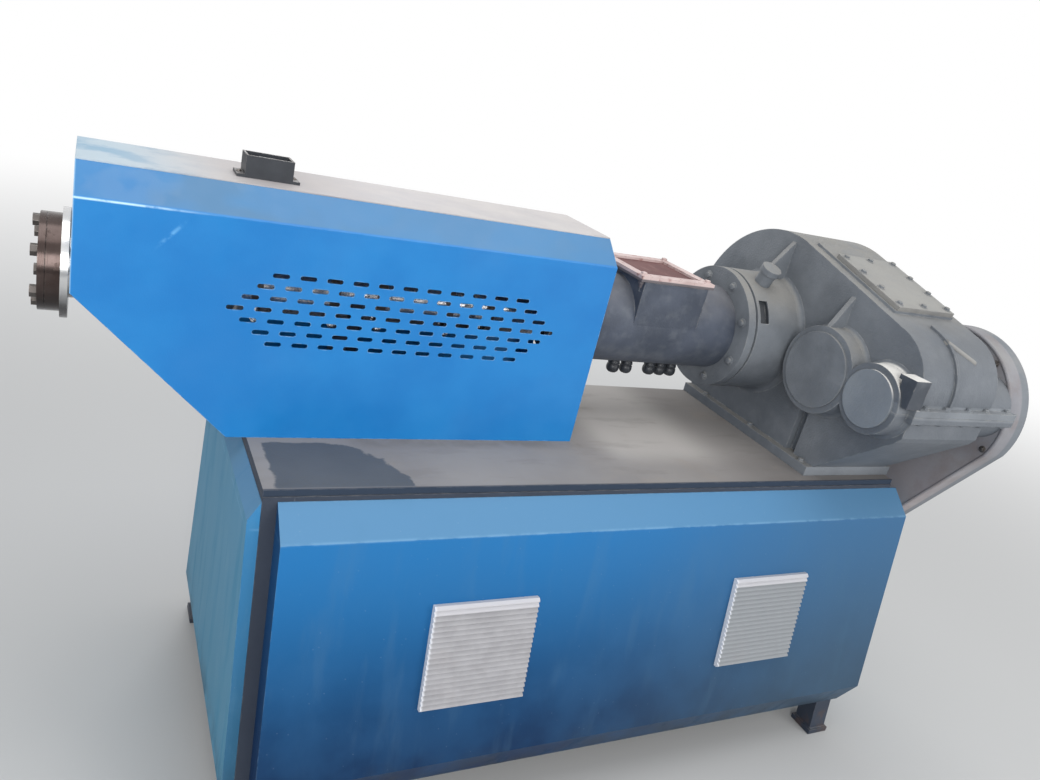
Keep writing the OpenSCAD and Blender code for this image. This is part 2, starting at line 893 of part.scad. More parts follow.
module gearbox_base() {
    slot_w = 26;
    color("gray") {
        difference() {
            along_x(box_x0, box_w) lower_outline();
            translate([box_x0 - 1, mid_y + 15, base_h + foot_t]) cube([19, slot_w, 105]);
        }
        translate([box_x0 - foot_lip, foot_y0, base_h]) cube([box_w + 2 * foot_lip, rear_y - foot_y0, foot_t]);
        split_flange(axis_z - split_t);
        half_bosses(false);
    }
}

module gearbox_cover() {
    color("gray") {
        upper_body(box_x0, box_w);
        intersection() {
            upper_body(box_x0 + edge_rib_x - edge_rib_w / 2, edge_rib_w, edge_rib_h);
            translate([box_x0, -box_front - split_lip, axis_z]) cube([box_w, shoulder_r, box_r]);
        }
        on_slope(0, cover_s + cover_l, pad_w, -1, pad_h + 1);
        split_flange(axis_z);
        half_bosses(true);
        difference() {
            gusset(-22, axis_z + bearing_d / 2 - 2, 70, 90);
            rod(box_x0 - 71, 71, bearing_d);
        }
        gusset(mid_y + 12, axis_z + boss_mid_d / 2 - 2, boss_t - 4, 72);
        gusset(in_y, axis_z + boss_in_d / 2 - 1, boss_t - 4, 1);
    }
}

module inspection_cover() {
    color("darkgray") on_slope(cover_s, cover_l, cover_w, pad_h, cover_t);
}

module bearing_cap_mid() {
    color("gray") rod(box_x0 - boss_t - cap_t, cap_t, boss_mid_d - 2 * boss_rim, mid_y);
}

module bearing_cap_input() {
    color("gray") rod(box_x0 - boss_t - cap_t, cap_t, boss_in_d - 2 * boss_rim, in_y);
}

module rear_bearing_caps() {
    color("gray") rod(box_x1 + rear_boss_t, cap_t, boss_in_d - 2 * boss_rim, 0);
    color("gray")
    difference() {
        rod(box_x1 + split_side, cap_t, boss_mid_d - 2 * boss_rim, mid_y);
        rod(box_x1, rear_boss_t, boss_in_d + 2, in_y);
    }
}

module input_shaft() {
    color("silver")
    rod(guard_x0, guard_inset, 44, in_y);
}

module oil_level_cup() {
    l = boss_t - 4;
    y0 = -box_front - split_lip + 2;
    y1 = in_y - boss_in_d / 2 + 20;
    color("gray")
    difference() {
        translate([box_x0 - l, y0, axis_z + split_t]) {
            cube([l, y1 - y0, 50]);
            translate([0, 0, 50]) cube([l, y1 - y0 + 8, 10]);
        }
        rod(box_x0 - boss_t, boss_t, boss_in_d, in_y);
    }
}

// The guard's body: two round ends joined by their common tangents
module guard_body(x0, length, inset) {
    r1 = guard_r - inset;
    r2 = guard_low_r - inset;
    a = 90 - asin((r1 - r2) / guard_span);
    up = 90 + guard_tilt;
    along_x(x0, length) polygon(concat(
        arc([-guard_y, base_h + guard_z], r1, up - a, up + a, 44),
        arc([motor_y, motor_z], r2, up + a, up + 360 - a, 36)
    ));
}

module belt_guard() {
    color("dimgray")
    difference() {
        guard_body(guard_x0, guard_t, 0);
        guard_body(guard_x0 - 1, guard_t - guard_sheet + 1, guard_sheet);
    }
}

module guard_backplate() {
    color("tan")
    difference() {
        guard_body(guard_x0, guard_sheet, guard_sheet);
        rod(guard_x0 - 1, guard_sheet + 2, 44 + 2 * fit, in_y);
        rod(guard_x0 - 1, guard_sheet + 2, 42 + 2 * fit, motor_y, motor_z);
    }
}

at_origin() frame_posts();
at_origin() frame_long_rails();
at_origin() frame_cross_rails();
at_origin() foot_pads();
at_origin() table_top();
at_origin() front_panel();
at_origin() rear_panel();
at_origin() left_end_panel();
at_origin() right_end_panel();
at_origin() front_grille_left();
at_origin() front_grille_right();
at_origin() motor();
at_origin() hood_front_side();
at_origin() hood_rear_side();
at_origin() hood_top();
at_origin() hood_die_end();
at_origin() hood_feed_end();
at_origin() connector_base();
at_origin() barrel();
at_origin() barrel_flange();
at_origin() adapter_ring();
at_origin() flange_bolts();
at_origin() screw();
at_origin() heater_bands();
at_origin() barrel_support();
at_origin() feed_throat();
at_origin() hopper_flange();
at_origin() inlet_cover();
at_origin() water_fittings();
at_origin() bearing_housing();
at_origin() grease_cup();
at_origin() gearbox_base();
at_origin() gearbox_cover();
at_origin() inspection_cover();
at_origin() bearing_cap_mid();
at_origin() bearing_cap_input();
at_origin() rear_bearing_caps();
at_origin() input_shaft();
at_origin() oil_level_cup();
at_origin() belt_guard();
at_origin() guard_backplate();
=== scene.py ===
# %% [markdown]
# # A plastic extruder: sheet steel, castings and dust
#
# An extruder melts plastic granules with a screw in a heated barrel. The CAD model brings the machine's
# main forms. This lesson adds the small fasteners, welds and cast fillets that a fitter would see, and
# the finishes: sprayed blue sheet, a dusty grey casting, a browned steel ring. They could be modelled
# and painted by hand. Worked out from numbers, they sit exactly on the CAD model and can be read again.

# %% Load the CAD frame
import json
import math

import bmesh
import bpy
import numpy as np
from mathutils import Matrix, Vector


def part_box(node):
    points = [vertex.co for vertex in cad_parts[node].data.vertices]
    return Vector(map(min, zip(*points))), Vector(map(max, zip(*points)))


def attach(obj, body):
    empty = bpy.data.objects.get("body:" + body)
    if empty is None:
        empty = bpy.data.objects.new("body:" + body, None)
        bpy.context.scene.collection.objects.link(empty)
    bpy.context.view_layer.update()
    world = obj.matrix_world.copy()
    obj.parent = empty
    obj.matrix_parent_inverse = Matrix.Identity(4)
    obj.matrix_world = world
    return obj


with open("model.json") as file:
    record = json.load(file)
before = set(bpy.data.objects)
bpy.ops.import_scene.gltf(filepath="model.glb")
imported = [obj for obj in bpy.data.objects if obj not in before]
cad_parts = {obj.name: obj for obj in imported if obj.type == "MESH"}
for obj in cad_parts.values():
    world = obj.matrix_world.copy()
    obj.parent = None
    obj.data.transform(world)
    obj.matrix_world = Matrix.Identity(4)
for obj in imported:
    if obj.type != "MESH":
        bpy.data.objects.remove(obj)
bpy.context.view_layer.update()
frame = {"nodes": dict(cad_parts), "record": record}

scene = bpy.context.scene
scene.view_settings.view_transform = "Standard"
print("CAD nodes:", len(frame["nodes"]))

# %% [markdown]
# ## Places on the machine
#
# A drawing gives places in millimetres: along the machine from the hood's die end, across it from the
# barrel's axis, and up from the floor. They could be typed in metres from the scene's origin, but each
# would take a sum. Three CAD nodes fix the drawing's origin instead, so nothing is fitted by eye.

# %% The drawing frame
MM = 1000
flange_low, flange_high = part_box("hopper_flange")
DIE_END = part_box("hood_top")[0].x * MM
AXIS_Y = (flange_low.y + flange_high.y) / 2 * MM
AXIS_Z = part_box("gearbox_cover")[0].z * MM
TABLE_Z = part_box("table_top")[1].z * MM
ORIGIN = np.array([DIE_END, AXIS_Y, 0.0])


def place(points):
    """Millimetres in the drawing to metres in the machine's frame: add the origin, divide by 1000."""
    return (np.asarray(points, float) + ORIGIN) / MM


def metres(letter, distance):
    """One drawing coordinate along the axis of that letter as metres: add its origin, divide by 1000."""
    return float(distance + ORIGIN["xyz".index(letter)]) / MM


print("die end", round(DIE_END, 2), "axis", round(AXIS_Y, 2), round(AXIS_Z, 2), "table", round(TABLE_Z, 2))

# %% [markdown]
# ## The camera
#
# The photo was taken by hand, from a little above the hood and turned by about 14 degrees. A camera can
# be steered by eye until the picture fits, but the machine's straight edges give its three directions
# exactly. A camera's matrix is just those directions as columns, with its place in the last one. It
# looks along its own -Z, with +Y up.

# %% Camera
LENS_PIXELS, FRAME_PIXELS, SENSOR = 830.2, 1040, 36
right = np.array([0.8819, -0.4140, 0.2255])
down = np.array([0.0395, -0.4117, -0.9105])
forward = np.array([0.4697, 0.8119, -0.3468])
eye = place([16.9, -1463.3, 1343.7])


def standing(columns, spot):
    """A world matrix: three directions as columns, and the place as the fourth."""
    matrix = np.eye(4)
    matrix[:3] = np.column_stack([*columns, spot])
    return Matrix(matrix.tolist())


camera = bpy.data.objects.new("Camera", bpy.data.cameras.new("Camera"))
scene.collection.objects.link(camera)
camera.data.sensor_width = SENSOR
camera.data.lens = LENS_PIXELS / FRAME_PIXELS * SENSOR
camera.matrix_world = standing((right, -down, -forward), eye)
scene.camera = camera
print("camera at", eye.round(3), "lens", round(camera.data.lens, 2), "mm")

# %% [markdown]
# ## Shader maths as Python
#
# A procedural finish is arithmetic on a place: how far is this point from the bend, does this face look
# up, how strong is the noise here. It could be wired by hand in the shader editor, where a long sum is
# hard to read. Wrapping a socket in a small class lets the sum be written as it is thought: each
# operator adds its Math node, and one method adds any other node.


# %% Sockets with operators
class Value:
    """A number that varies over a surface: a node's output, with a Math node for each operator."""

    def __init__(self, nodes, socket):
        self.nodes, self.socket = nodes, socket

    def math(self, operation, *others):
        """This value and then the others through one Math node."""
        return self.nodes.node("ShaderNodeMath", {"operation": operation}, dict(enumerate((self, *others))))

    def __add__(self, other):
        return self.math("ADD", other)

    def __mul__(self, other):
        return self.math("MULTIPLY", other)

    def __sub__(self, other):
        return self.math("SUBTRACT", other)

    def __rsub__(self, other):
        return self.nodes.node("ShaderNodeMath", {"operation": "SUBTRACT"}, {0: other, 1: self})

    __radd__, __rmul__ = __add__, __mul__

    def size(self):
        """The value without its sign."""
        return self.math("ABSOLUTE")

    def step(self, low, high):
        """0 below low, 1 above high, and a smooth slope between."""
        return self.nodes.node("ShaderNodeMapRange", {"interpolation_type": "SMOOTHSTEP"},
                               {"Value": self, "From Min": low, "From Max": high})

    def near(self, centre, width):
        """1 at centre, falling to 0 at width to either side: 1 less the stepped distance."""
        return 1 - (self - centre).size().step(0.0, width)


class Nodes:
    """A node tree, and the one method that adds a node to it."""

    def __init__(self, tree):
        self.tree = tree

    def node(self, kind, settings=None, sockets=None, out=0):
        """Adds a node, sets it, then gives its sockets their values or links, and returns one output."""
        made = self.tree.nodes.new(kind)
        for key, value in (settings or {}).items():
            setattr(made, key, value)
        for key, value in (sockets or {}).items():
            self.feed(made.inputs[key], value)
        return Value(self, made.outputs[out])

    def feed(self, socket, value):
        """Links a Value to a socket, or sets a plain number, colour or vector on it."""
        if isinstance(value, Value):
            self.tree.links.new(value.socket, socket)
        else:
            socket.default_value = value


print("sockets can be added, subtracted and multiplied")

# %% [markdown]
# ## Colours as the screen shows them
#
# A colour picked from a picture is bent to suit a screen, while light adds up in straight numbers.
# Blender's colour picker converts one to the other. A script has to do it itself, and one function
# lets every tint below be three screen numbers from 0 to 255.


# %% Screen colours
def colour(red, green, blue):
    """Screen numbers to light by the sRGB curve: low ones over 12.92, others shifted and raised to 2.4."""
    c = np.array([red, green, blue]) / 255
    return (*np.where(c <= 0.04045, c / 12.92, ((c + 0.055) / 1.055) ** 2.4), 1.0)


print("middle grey on the screen is", round(float(colour(128, 128, 128)[0]), 3), "in light")

# %% [markdown]
# ## A finish as coats of paint
#
# Every surface of the machine has a history: a first coat, then dust, oil, rubbing and rust on top. Each
# could be painted into an image, which blurs close up and needs unwrapping. Here it is a tint and a
# mask, laid over the colour so far, and one class holds the masks that all finishes share.


# %% Finishes
class Finish(Nodes):
    """One procedural material: a colour laid coat over coat, then joined to the Principled shader.
    The plain roughness is for programs that can't read the nodes."""

    def __init__(self, name, roughness, metallic=0.0, coat=0.0, gloss=0.5):
        self.material = bpy.data.materials.new(name)
        self.material.use_nodes = True
        super().__init__(self.material.node_tree)
        self.shader = self.tree.nodes["Principled BSDF"]
        for key, value in (("Roughness", roughness), ("Metallic", metallic), ("Coat Weight", coat),
                           ("Coat Roughness", 0.25), ("Specular IOR Level", gloss)):
            self.shader.inputs[key].default_value = value
        self.spot = self.node("ShaderNodeTexCoord", out="Object")
        self.x, self.y, self.z = (self.part(self.spot, letter) for letter in "XYZ")
        facing = self.node("ShaderNodeNewGeometry", out="Normal")
        self.along, self.up = self.part(facing, "X"), self.part(facing, "Z")

    def part(self, vector, letter):
        """The X, Y or Z of a vector."""
        return self.node("ShaderNodeSeparateXYZ", {}, {0: vector}, letter)

    def past(self, letter, start, end):
        """0 before start and 1 past end along one axis, both in the drawing's millimetres."""
        return getattr(self, letter).step(metres(letter, start), metres(letter, end))

    def stretched(self, x, y, z):
        """Object coordinates scaled along each axis, for grain that runs one way."""
        return self.node("ShaderNodeVectorMath", {"operation": "MULTIPLY"}, {0: self.spot, 1: (x, y, z)})

    def distance(self, kept, centre):
        """The length from a centre to the point, where only the axes kept with a 1 count."""
        return self.node("ShaderNodeVectorMath", {"operation": "DISTANCE"},
                         {0: self.stretched(*kept), 1: centre}, "Value")

    def noise(self, scale, detail=3.0, rough=0.55, spot=None):
        """Cloudy noise from about 0.3 to 0.7: blobs per metre, layers of finer ones, and their strength."""
        return self.node("ShaderNodeTexNoise", {}, {
            "Vector": spot or self.spot, "Scale": scale, "Detail": detail, "Roughness": rough})

    def cells(self, scale):
        """Distance to the nearest of many scattered points."""
        return self.node("ShaderNodeTexVoronoi", {}, {"Vector": self.spot, "Scale": scale}, "Distance")

    def wear(self, radius, scale):
        """Worn edges: 1 less the cosine between the face's own normal and the one averaged over a small
        radius, times noise, so that the wear comes and goes along the edge."""
        soft = self.node("ShaderNodeBevel", {"samples": 4}, {"Radius": radius}, "Normal")
        own = self.node("ShaderNodeNewGeometry", out="True Normal")
        same = self.node("ShaderNodeVectorMath", {"operation": "DOT_PRODUCT"}, {0: soft, 1: own}, "Value")
        return (1 - same).step(0.01, 0.22) * self.noise(scale, 4.0).step(0.42, 0.62)

    def mix(self, mask, first, second):
        """First where the mask is 0, second where it is 1. Each is a socket or three screen numbers."""
        first, second = (tint if isinstance(tint, Value) else colour(*tint) for tint in (first, second))
        return self.node("ShaderNodeMix", {"data_type": "RGBA"}, {0: mask, 6: first, 7: second}, 2)

    def undercoat(self, mask, first, second):
        """The first coat: two tints shared out by a mask."""
        self.base = self.mix(mask, first, second)

    def over(self, mask, tint):
        """Another coat: the tint where the mask is 1, the colour so far where it is 0."""
        self.base = self.mix(mask, self.base, tint)

    def finish(self, roughness, bump, height, rounding=0.0015):
        """Joins the colour, the roughness, and a bump of so many metres over slightly rounded edges."""
        normal = self.node("ShaderNodeBevel", {"samples": 4}, {"Radius": rounding}, "Normal")
        normal = self.node("ShaderNodeBump", {}, {
            "Strength": 1.0, "Distance": height, "Height": bump, "Normal": normal}, "Normal")
        for key, value in (("Base Color", self.base), ("Roughness", roughness), ("Normal", normal)):
            self.feed(self.shader.inputs[key], value)
        print(self.material.name, "in", len(self.tree.nodes), "nodes")
        return self.material


print("finishes read Object coordinates, so a pattern stays where it is on its piece")

# %% [markdown]
# ## Sprayed blue sheet
#
# The hood is bent sheet, sprayed a bright blue. Grease and dust leave pale smudges on the sloping strip
# above the bend, fewer of them towards the feed end. A brush could put them there, but a mask from the
# height above the bend keeps them on the strip, and noise breaks them up as use does.

# %% Hood blue
BEND_Z = metres("z", TABLE_Z + 375)
blue = Finish("hood blue", roughness=0.42, coat=0.1, gloss=0.35)
strip = blue.z.step(BEND_Z + 0.001, BEND_Z + 0.004)
by_die = 1 - blue.past("x", 60, 180)
smudge = blue.noise(9.0, 2.0, 0.5).step(0.44, 0.6) * strip
smudge = smudge * (1 - blue.past("x", 260, 520) * 0.6) * (1 - by_die * 0.4)
prints = blue.noise(16.0, 2.0, 0.5).step(0.5, 0.62) * strip * (1 - blue.past("x", 150, 330))
blue.undercoat(blue.noise(7.0, 4.0).step(0.3, 0.7), (18, 117, 189), (29, 127, 197))
blue.over(strip * (0.75 - by_die * 0.3), (78, 126, 164))
blue.over(smudge * 0.6, (92, 128, 160))
blue.over(prints * 0.1, (150, 166, 180))
print("strip starts at", round(BEND_Z, 3), "m")

# %% [markdown]
# ## The hood's bend, a scratch and worn corners
#
# Where the sheet bends, near the die end, a thin bright line is a painted highlight, and a pale line along
# the die end's edge is a painted highlight too. A pale scratch runs across the side. These are too shallow
# to model. A line in a material is a distance: the height above the bend, or the distance to a slanting
# line. Spray paint also has orange peel, a ripple of a tenth of a millimetre that breaks up reflections,
# and the bump takes it from fine noise.

# %% Hood bend and scratch
SCRATCH_X, SCRATCH_Z, SCRATCH_SLOPE = metres("x", 131), metres("z", TABLE_Z + 338), 1.1
# painted highlight: a thin bright line along the bend, fading away from the die end
bend_highlight = blue.z.near(BEND_Z, 0.0024) * (1 - blue.past("x", 60, 200) * 0.97)
blue.over(bend_highlight * blue.noise(40.0).step(0.25, 0.5), (196, 232, 250))
# painted highlight: a pale line along the hood's die end edge
blue.over(blue.x.near(metres("x", 0), 0.0022) * 0.6, (170, 214, 244))
slant = (blue.z - SCRATCH_Z) - (blue.x - SCRATCH_X) * SCRATCH_SLOPE
scratch = slant.near(0.0, 0.007) * blue.x.near(SCRATCH_X, 0.024) * blue.noise(90.0).step(0.35, 0.6)
blue.over(scratch * 0.55, (120, 190, 240))
blue.over(blue.noise(3.0, 3.0).step(0.5, 0.75) * 0.09, (110, 164, 212))
corners = blue.wear(0.003, 80.0) * (1 - blue.z.near(BEND_Z, 0.012) * 0.9)
blue.over(corners * 0.6, (165, 205, 236))
grain = 0.36 + smudge * 0.2 + blue.noise(30.0).step(0.3, 0.7) * 0.1
hood_blue = blue.finish(grain, blue.noise(420.0, 2.0, 0.5), height=0.00012)

# %% [markdown]
# ## Dusty hood top
#
# The flat top is the same blue under years of pale dust, so thick that it reads as white. Only a strip
# by the die end is bluer, where it gets wiped. A plain white would look like paint. Dust is light
# because it scatters, and a high roughness with a broken mask between paint and powder says that.

# %% Hood top
powder = Finish("dust on blue", roughness=0.7)
cover = powder.noise(5.0, 5.0, 0.6).step(0.25, 0.6)
powder.undercoat(cover, (176, 169, 169), (202, 195, 191))
powder.over(powder.x.near(metres("x", 320), 0.2) * 0.5, (160, 150, 149))
paint = powder.mix(powder.noise(14.0, 4.0).step(0.35, 0.6), (140, 172, 194), (182, 198, 208))
powder.over(1 - powder.past("x", 30, 230) * 0.9, paint)
powder.over((1 - powder.cells(90.0).step(0.0, 0.12)) * 0.25, (120, 130, 142))
hood_top_pale = powder.finish(0.6 + cover * 0.2, powder.noise(180.0, 4.0), height=0.0002)

# %% [markdown]
# ## Blue panels near the floor
#
# The base's panels have the same sort of paint but older. Their colour darkens towards the floor as
# painted shade, and dust drifts down them in upright streaks. Streaks could be drawn one by one. Noise on
# coordinates that are
# squeezed in height makes them all at once, because whatever varies slowly along Z looks stretched.

# %% Panel blue
DARK_Z, BRIGHT_Z = 0.12, 0.68
panel = Finish("panel blue", roughness=0.55, gloss=0.2)
hazy = panel.past("x", 700, 1700)
streak = panel.noise(22.0, 4.0, 0.6, panel.stretched(1.0, 1.0, 0.12)).step(0.5, 0.72)
# painted shade: the panel colour darkens from BRIGHT_Z down to DARK_Z, towards the floor
panel.undercoat(panel.z.step(DARK_Z, BRIGHT_Z), (2, 36, 72), (32, 114, 176))
panel.over(panel.noise(6.0, 4.0).step(0.35, 0.65) * 0.18, (50, 108, 158))
panel.over(hazy * 0.55, (72, 96, 112))
panel.over(streak * 0.1, (96, 126, 146))
print("panels darken from", BRIGHT_Z, "m down to", DARK_Z, "m")

# %% [markdown]
# ## The panels' ends and bends
#
# The end panel faces the light and is paler than the front, its hidden inside is darker, and the bend
# along the top catches the light. Three materials could tell these apart. One is enough, because the
# face's own normal and its place along the machine say which skin a point is on.

# %% Panel ends and bends
SKIN_LEFT, SKIN_RIGHT, SKIN = 276, 1718, 3
sideways = panel.along.size().step(0.3, 0.6)
past_left = panel.past("x", SKIN_LEFT, SKIN_LEFT + SKIN)
past_right = panel.past("x", SKIN_RIGHT - SKIN, SKIN_RIGHT)
outer = 1 - past_left * (1 - past_right)
end = outer * sideways * 0.88 + (1 - past_left) * (1 - sideways) * 0.36
panel.over(end, (80, 146, 178))
runs = panel.noise(40.0, 5.0, 0.7, panel.stretched(1.0, 1.0, 0.22)).step(0.46, 0.72)
panel.over(runs * end * 0.25, (118, 160, 184))
panel.over(sideways * (1 - outer) * 0.7, (14, 46, 86))
# painted light: upward faces, such as the top bevel, are a paler blue
panel.over(panel.up.step(0.2, 0.5) * (0.85 - hazy * 0.2), (94, 139, 174))
top_bend = panel.z.near(metres("z", TABLE_Z - 66), 0.0035) * panel.noise(30.0).step(0.35, 0.6)
panel.over(top_bend * 0.2, (150, 196, 228))
grime = (1 - panel.z.step(0.09, 0.2)) * panel.noise(16.0, 5.0).step(0.38, 0.66)
panel.over(grime * 0.6, (46, 56, 66))
panel.over(panel.wear(0.003, 60.0) * 0.3, (140, 172, 196))
panel.over((1 - panel.cells(55.0).step(0.02, 0.07)) * 0.25, (150, 170, 184))
panel_blue = panel.finish(0.5 + streak * 0.2, panel.noise(380.0, 2.0), height=0.00012)

# %% [markdown]
# ## The dark frame
#
# The frame's square tubes are brushed near-black. Dust has settled on what looks up, the edges are
# worn, and rust creeps up from the floor. Each could be a texture of its own, but all three follow from
# the shape: the normal's upward part, the edges, and the height.

# %% Frame dark
dark = Finish("frame dark", roughness=0.55)
dark.undercoat(dark.noise(9.0, 4.0), (28, 37, 52), (48, 58, 74))
settled = dark.up.step(0.4, 0.9) * dark.noise(20.0, 4.0).step(0.25, 0.6)
dark.over(settled * 0.45, (112, 110, 108))
dark.over(dark.wear(0.003, 50.0) * 0.7, (110, 112, 116))
rust = (1 - dark.z.step(0.03, 0.14)) * dark.noise(26.0, 5.0).step(0.5, 0.64)
dark.over(rust * 0.45, (84, 62, 50))
frame_dark = dark.finish(0.5 + dark.noise(40.0) * 0.2, dark.noise(160.0, 4.0), height=0.0004)

# %% [markdown]
# ## The dusty table
#
# The table is a dark plate under pale brown dust, which is greyer at the drive end and darker along the
# foot of the hood. By the feed housing, where the hood and the housing shade it, it is painted paler as
# painted light. Scattered grains would cost thousands of points for a layer with no height. A few soft
# masks from the place on the plate are enough.

# %% Table dust
table = Finish("table dust", roughness=0.8, gloss=0.3)
table.undercoat(table.noise(3.0, 4.0, 0.55).step(0.3, 0.7), (138, 134, 132), (153, 149, 146))
# painted light: a paler patch by the feed housing, where the hood and housing shade the table
table.over(table.past("x", 950, 1040) * table.past("y", -270, -170) * 0.6, (196, 191, 186))
table.over(table.past("x", 1190, 1330) * 0.6, (116, 112, 110))
table.over(table.noise(7.0, 5.0).step(0.5, 0.7) * 0.4, (156, 147, 138))
by_hood = table.y.near(metres("y", -158), 0.034) * table.past("x", 440, 480)
by_hood = by_hood * (1 - table.past("x", 930, 980)) * table.noise(12.0, 4.0).step(0.3, 0.6)
table.over(by_hood * 0.5, (104, 98, 92))
table_low, table_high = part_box("table_top")
print("dust lies on", round(table_high.x - table_low.x, 2), "m of table")

# %% [markdown]
# ## The wiped patch
#
# At the front of the table the dust has been wiped off in one sweep, so the bare plate shows, with a
# ragged round edge. A decal would end in a clean line. The mask is a part of a disc instead: the
# distance to its middle and two straight cuts, each pushed in and out by the same noise.

# %% Wiped patch and table edges
WIPE_X, WIPE_Y, WIPE_R = 352.7, -328.5, 0.175
SOFT_EDGE = 0.003
ragged = (table.noise(30.0, 6.0, 0.7) - 0.5) * 0.05
reach = table.distance((1, 1, 0), (metres("x", WIPE_X), metres("y", WIPE_Y), 0.0))
wiped = 1 - (reach + ragged).step(WIPE_R - SOFT_EDGE, WIPE_R + SOFT_EDGE)
wiped = wiped * (table.x - metres("x", 297) + ragged * 0.5).step(-SOFT_EDGE, SOFT_EDGE)
wiped = wiped * (1 - (table.y - metres("y", -164) + ragged * 0.3).step(-SOFT_EDGE, SOFT_EDGE))
wiped = wiped * table.past("y", -321, -317)
table.over(wiped * 0.95, table.mix(table.noise(10.0, 4.0), (80, 84, 88), (98, 101, 104)))
drift = table.noise(11.0, 4.0, 0.6, table.stretched(0.5, 2.0, 1.0)).step(0.52, 0.66)
table.over(drift * 0.2 * (1 - wiped), (116, 110, 106))
table.over((1 - table.past("y", -323, -318)) * 0.85, (44, 56, 72))
table.over((1 - table.up.step(0.4, 0.8)) * 0.85, (40, 54, 72))
table.over(table.wear(0.003, 40.0) * 0.4, (130, 132, 136))
table_grey = table.finish(0.82 - wiped * 0.3, table.noise(220.0, 5.0), height=0.0003)

# %% [markdown]
# ## Moulded grilles
#
# The two square grilles are off-white moulded plastic, the right one greyer. Each blade's upward face is
# darkened as painted shade, and the top rail and stiles are paler. Blades could be painted one by one, but
# the normal's upward part finds them all, and the CAD boxes tell where the top rail and stiles are.

# %% Grille white
left_low, left_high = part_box("front_grille_left")
right_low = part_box("front_grille_right")[0]
white = Finish("grille white", roughness=0.55, gloss=0.3)
white.undercoat(white.noise(30.0, 4.0).step(0.3, 0.7), (160, 159, 162), (172, 171, 174))
white.over(white.x.step(left_high.x, right_low.x) * 0.85, (143, 148, 152))
# painted shade: the blades' upward faces are darker, which flattens their lit and shaded stripes
white.over(white.up.step(0.3, 0.8) * 0.15, (140, 140, 142))
stain = white.noise(9.0, 5.0).step(0.56, 0.7)
white.over(stain * 0.15, (150, 142, 141))
white.over(white.z.step(left_high.z - 0.017, left_high.z - 0.014) * 0.8, (200, 199, 203))
white.over(white.x.near(left_low.x, 0.006) + white.x.near(right_low.x, 0.006), (220, 222, 228))
grille_white = white.finish(0.5 + stain * 0.2, white.noise(300.0, 2.0), height=0.00008, rounding=0.0008)

# %% [markdown]
# ## Black plastic
#
# The connector's base and the fittings are black phenolic plastic. Pure black hides every form, and real
# plastic is a dark grey with paler edges and some dust. So the coats are the same as the frame's, but
# finer, because these pieces are small and seen from near.

# %% Black plastic
black = Finish("black plastic", roughness=0.5)
black.undercoat(black.noise(40.0, 4.0), (34, 37, 43), (58, 62, 68))
lying = black.up.step(0.5, 0.9) * black.noise(70.0, 4.0).step(0.3, 0.6)
black.over(lying * 0.5, (150, 142, 138))
black.over(black.wear(0.002, 90.0) * 0.7, (130, 126, 124))
fitting_black = black.finish(0.42 + lying * 0.3, black.noise(260.0, 3.0), height=0.00015, rounding=0.001)

# %% [markdown]
# ## Red oxide plate and its pale rim
#
# The plate in the hopper flange has red oxide primer, flat and chalky, and the flange round it has a
# pale primer that shows red where it is thin. A texture of rust would look wrong on paint. Chalk is
# noise drawn out across the plate, and the flange's lower edge is darker.

# %% Red oxide and pale primer
red = Finish("red oxide", roughness=0.75)
red.undercoat(red.noise(18.0, 5.0).step(0.3, 0.7), (80, 40, 40), (98, 56, 55))
chalk = red.noise(50.0, 5.0, 0.65, red.stretched(1.0, 0.3, 1.0)).step(0.5, 0.7)
red.over(chalk * 0.3, (160, 132, 126))
cover_red = red.finish(0.7 + chalk * 0.15, red.noise(240.0, 4.0), height=0.0002)

rim = Finish("pale primer", roughness=0.6)
rim.undercoat(rim.noise(24.0, 4.0).step(0.35, 0.65), (208, 187, 183), (192, 169, 165))
rim.over(rim.noise(70.0, 5.0).step(0.56, 0.66) * 0.6, (150, 92, 84))
rim.over(rim.wear(0.003, 70.0) * 0.6, (168, 150, 146))
lower_edge = 1 - rim.z.step(flange_low.z + 0.0045, flange_low.z + 0.0065)
rim.over(lower_edge * 0.85, (64, 66, 74))
hopper_rim = rim.finish(0.55, rim.noise(200.0, 4.0), height=0.0002)

# %% [markdown]
# ## Turned steel
#
# A lathe leaves fine rings round the axis, heat browns the adapter ring in patches, and the heater
# bands are bright rolled sheet. Rings could be cut into the mesh, at the cost of thousands of faces.
# Noise that is squeezed hard along the barrel gives the same grain, and one function makes all four
# steels, since they differ in a few numbers only.


# %% Steels
def turned_steel(name, cold, hot, roughness, patch, rings=900.0, low_shade=0.0, worn=0.6):
    """Bare steel: two tints by noise, lathe rings as noise squeezed along x, grime in patches, and painted
    shade that darkens it below the barrel's axis."""
    steel = Finish(name, roughness=roughness, metallic=0.9)
    steel.undercoat(steel.noise(18.0, 4.0).step(0.3, 0.7), cold, hot)
    grime = steel.noise(42.0, 5.0, 0.65).step(0.54, 0.7)
    steel.over(grime * patch, (72, 60, 54))
    # painted shade: the steel is darkened below the barrel's axis, with a ragged border
    height = steel.z + (steel.noise(30.0) - 0.5) * 0.03
    below = 1 - height.step(metres("z", AXIS_Z - 55), metres("z", AXIS_Z - 12))
    steel.over(below * low_shade, (62, 58, 57))
    steel.over(steel.wear(0.002, 90.0) * worn, (214, 208, 200))
    ring = steel.noise(1.0, 2.0, 0.5, steel.stretched(rings, 2.0, 2.0))
    grain = roughness + grime * 0.25 + (ring - 0.5) * 0.1
    return steel.finish(grain, ring, height=0.00005, rounding=0.0008)


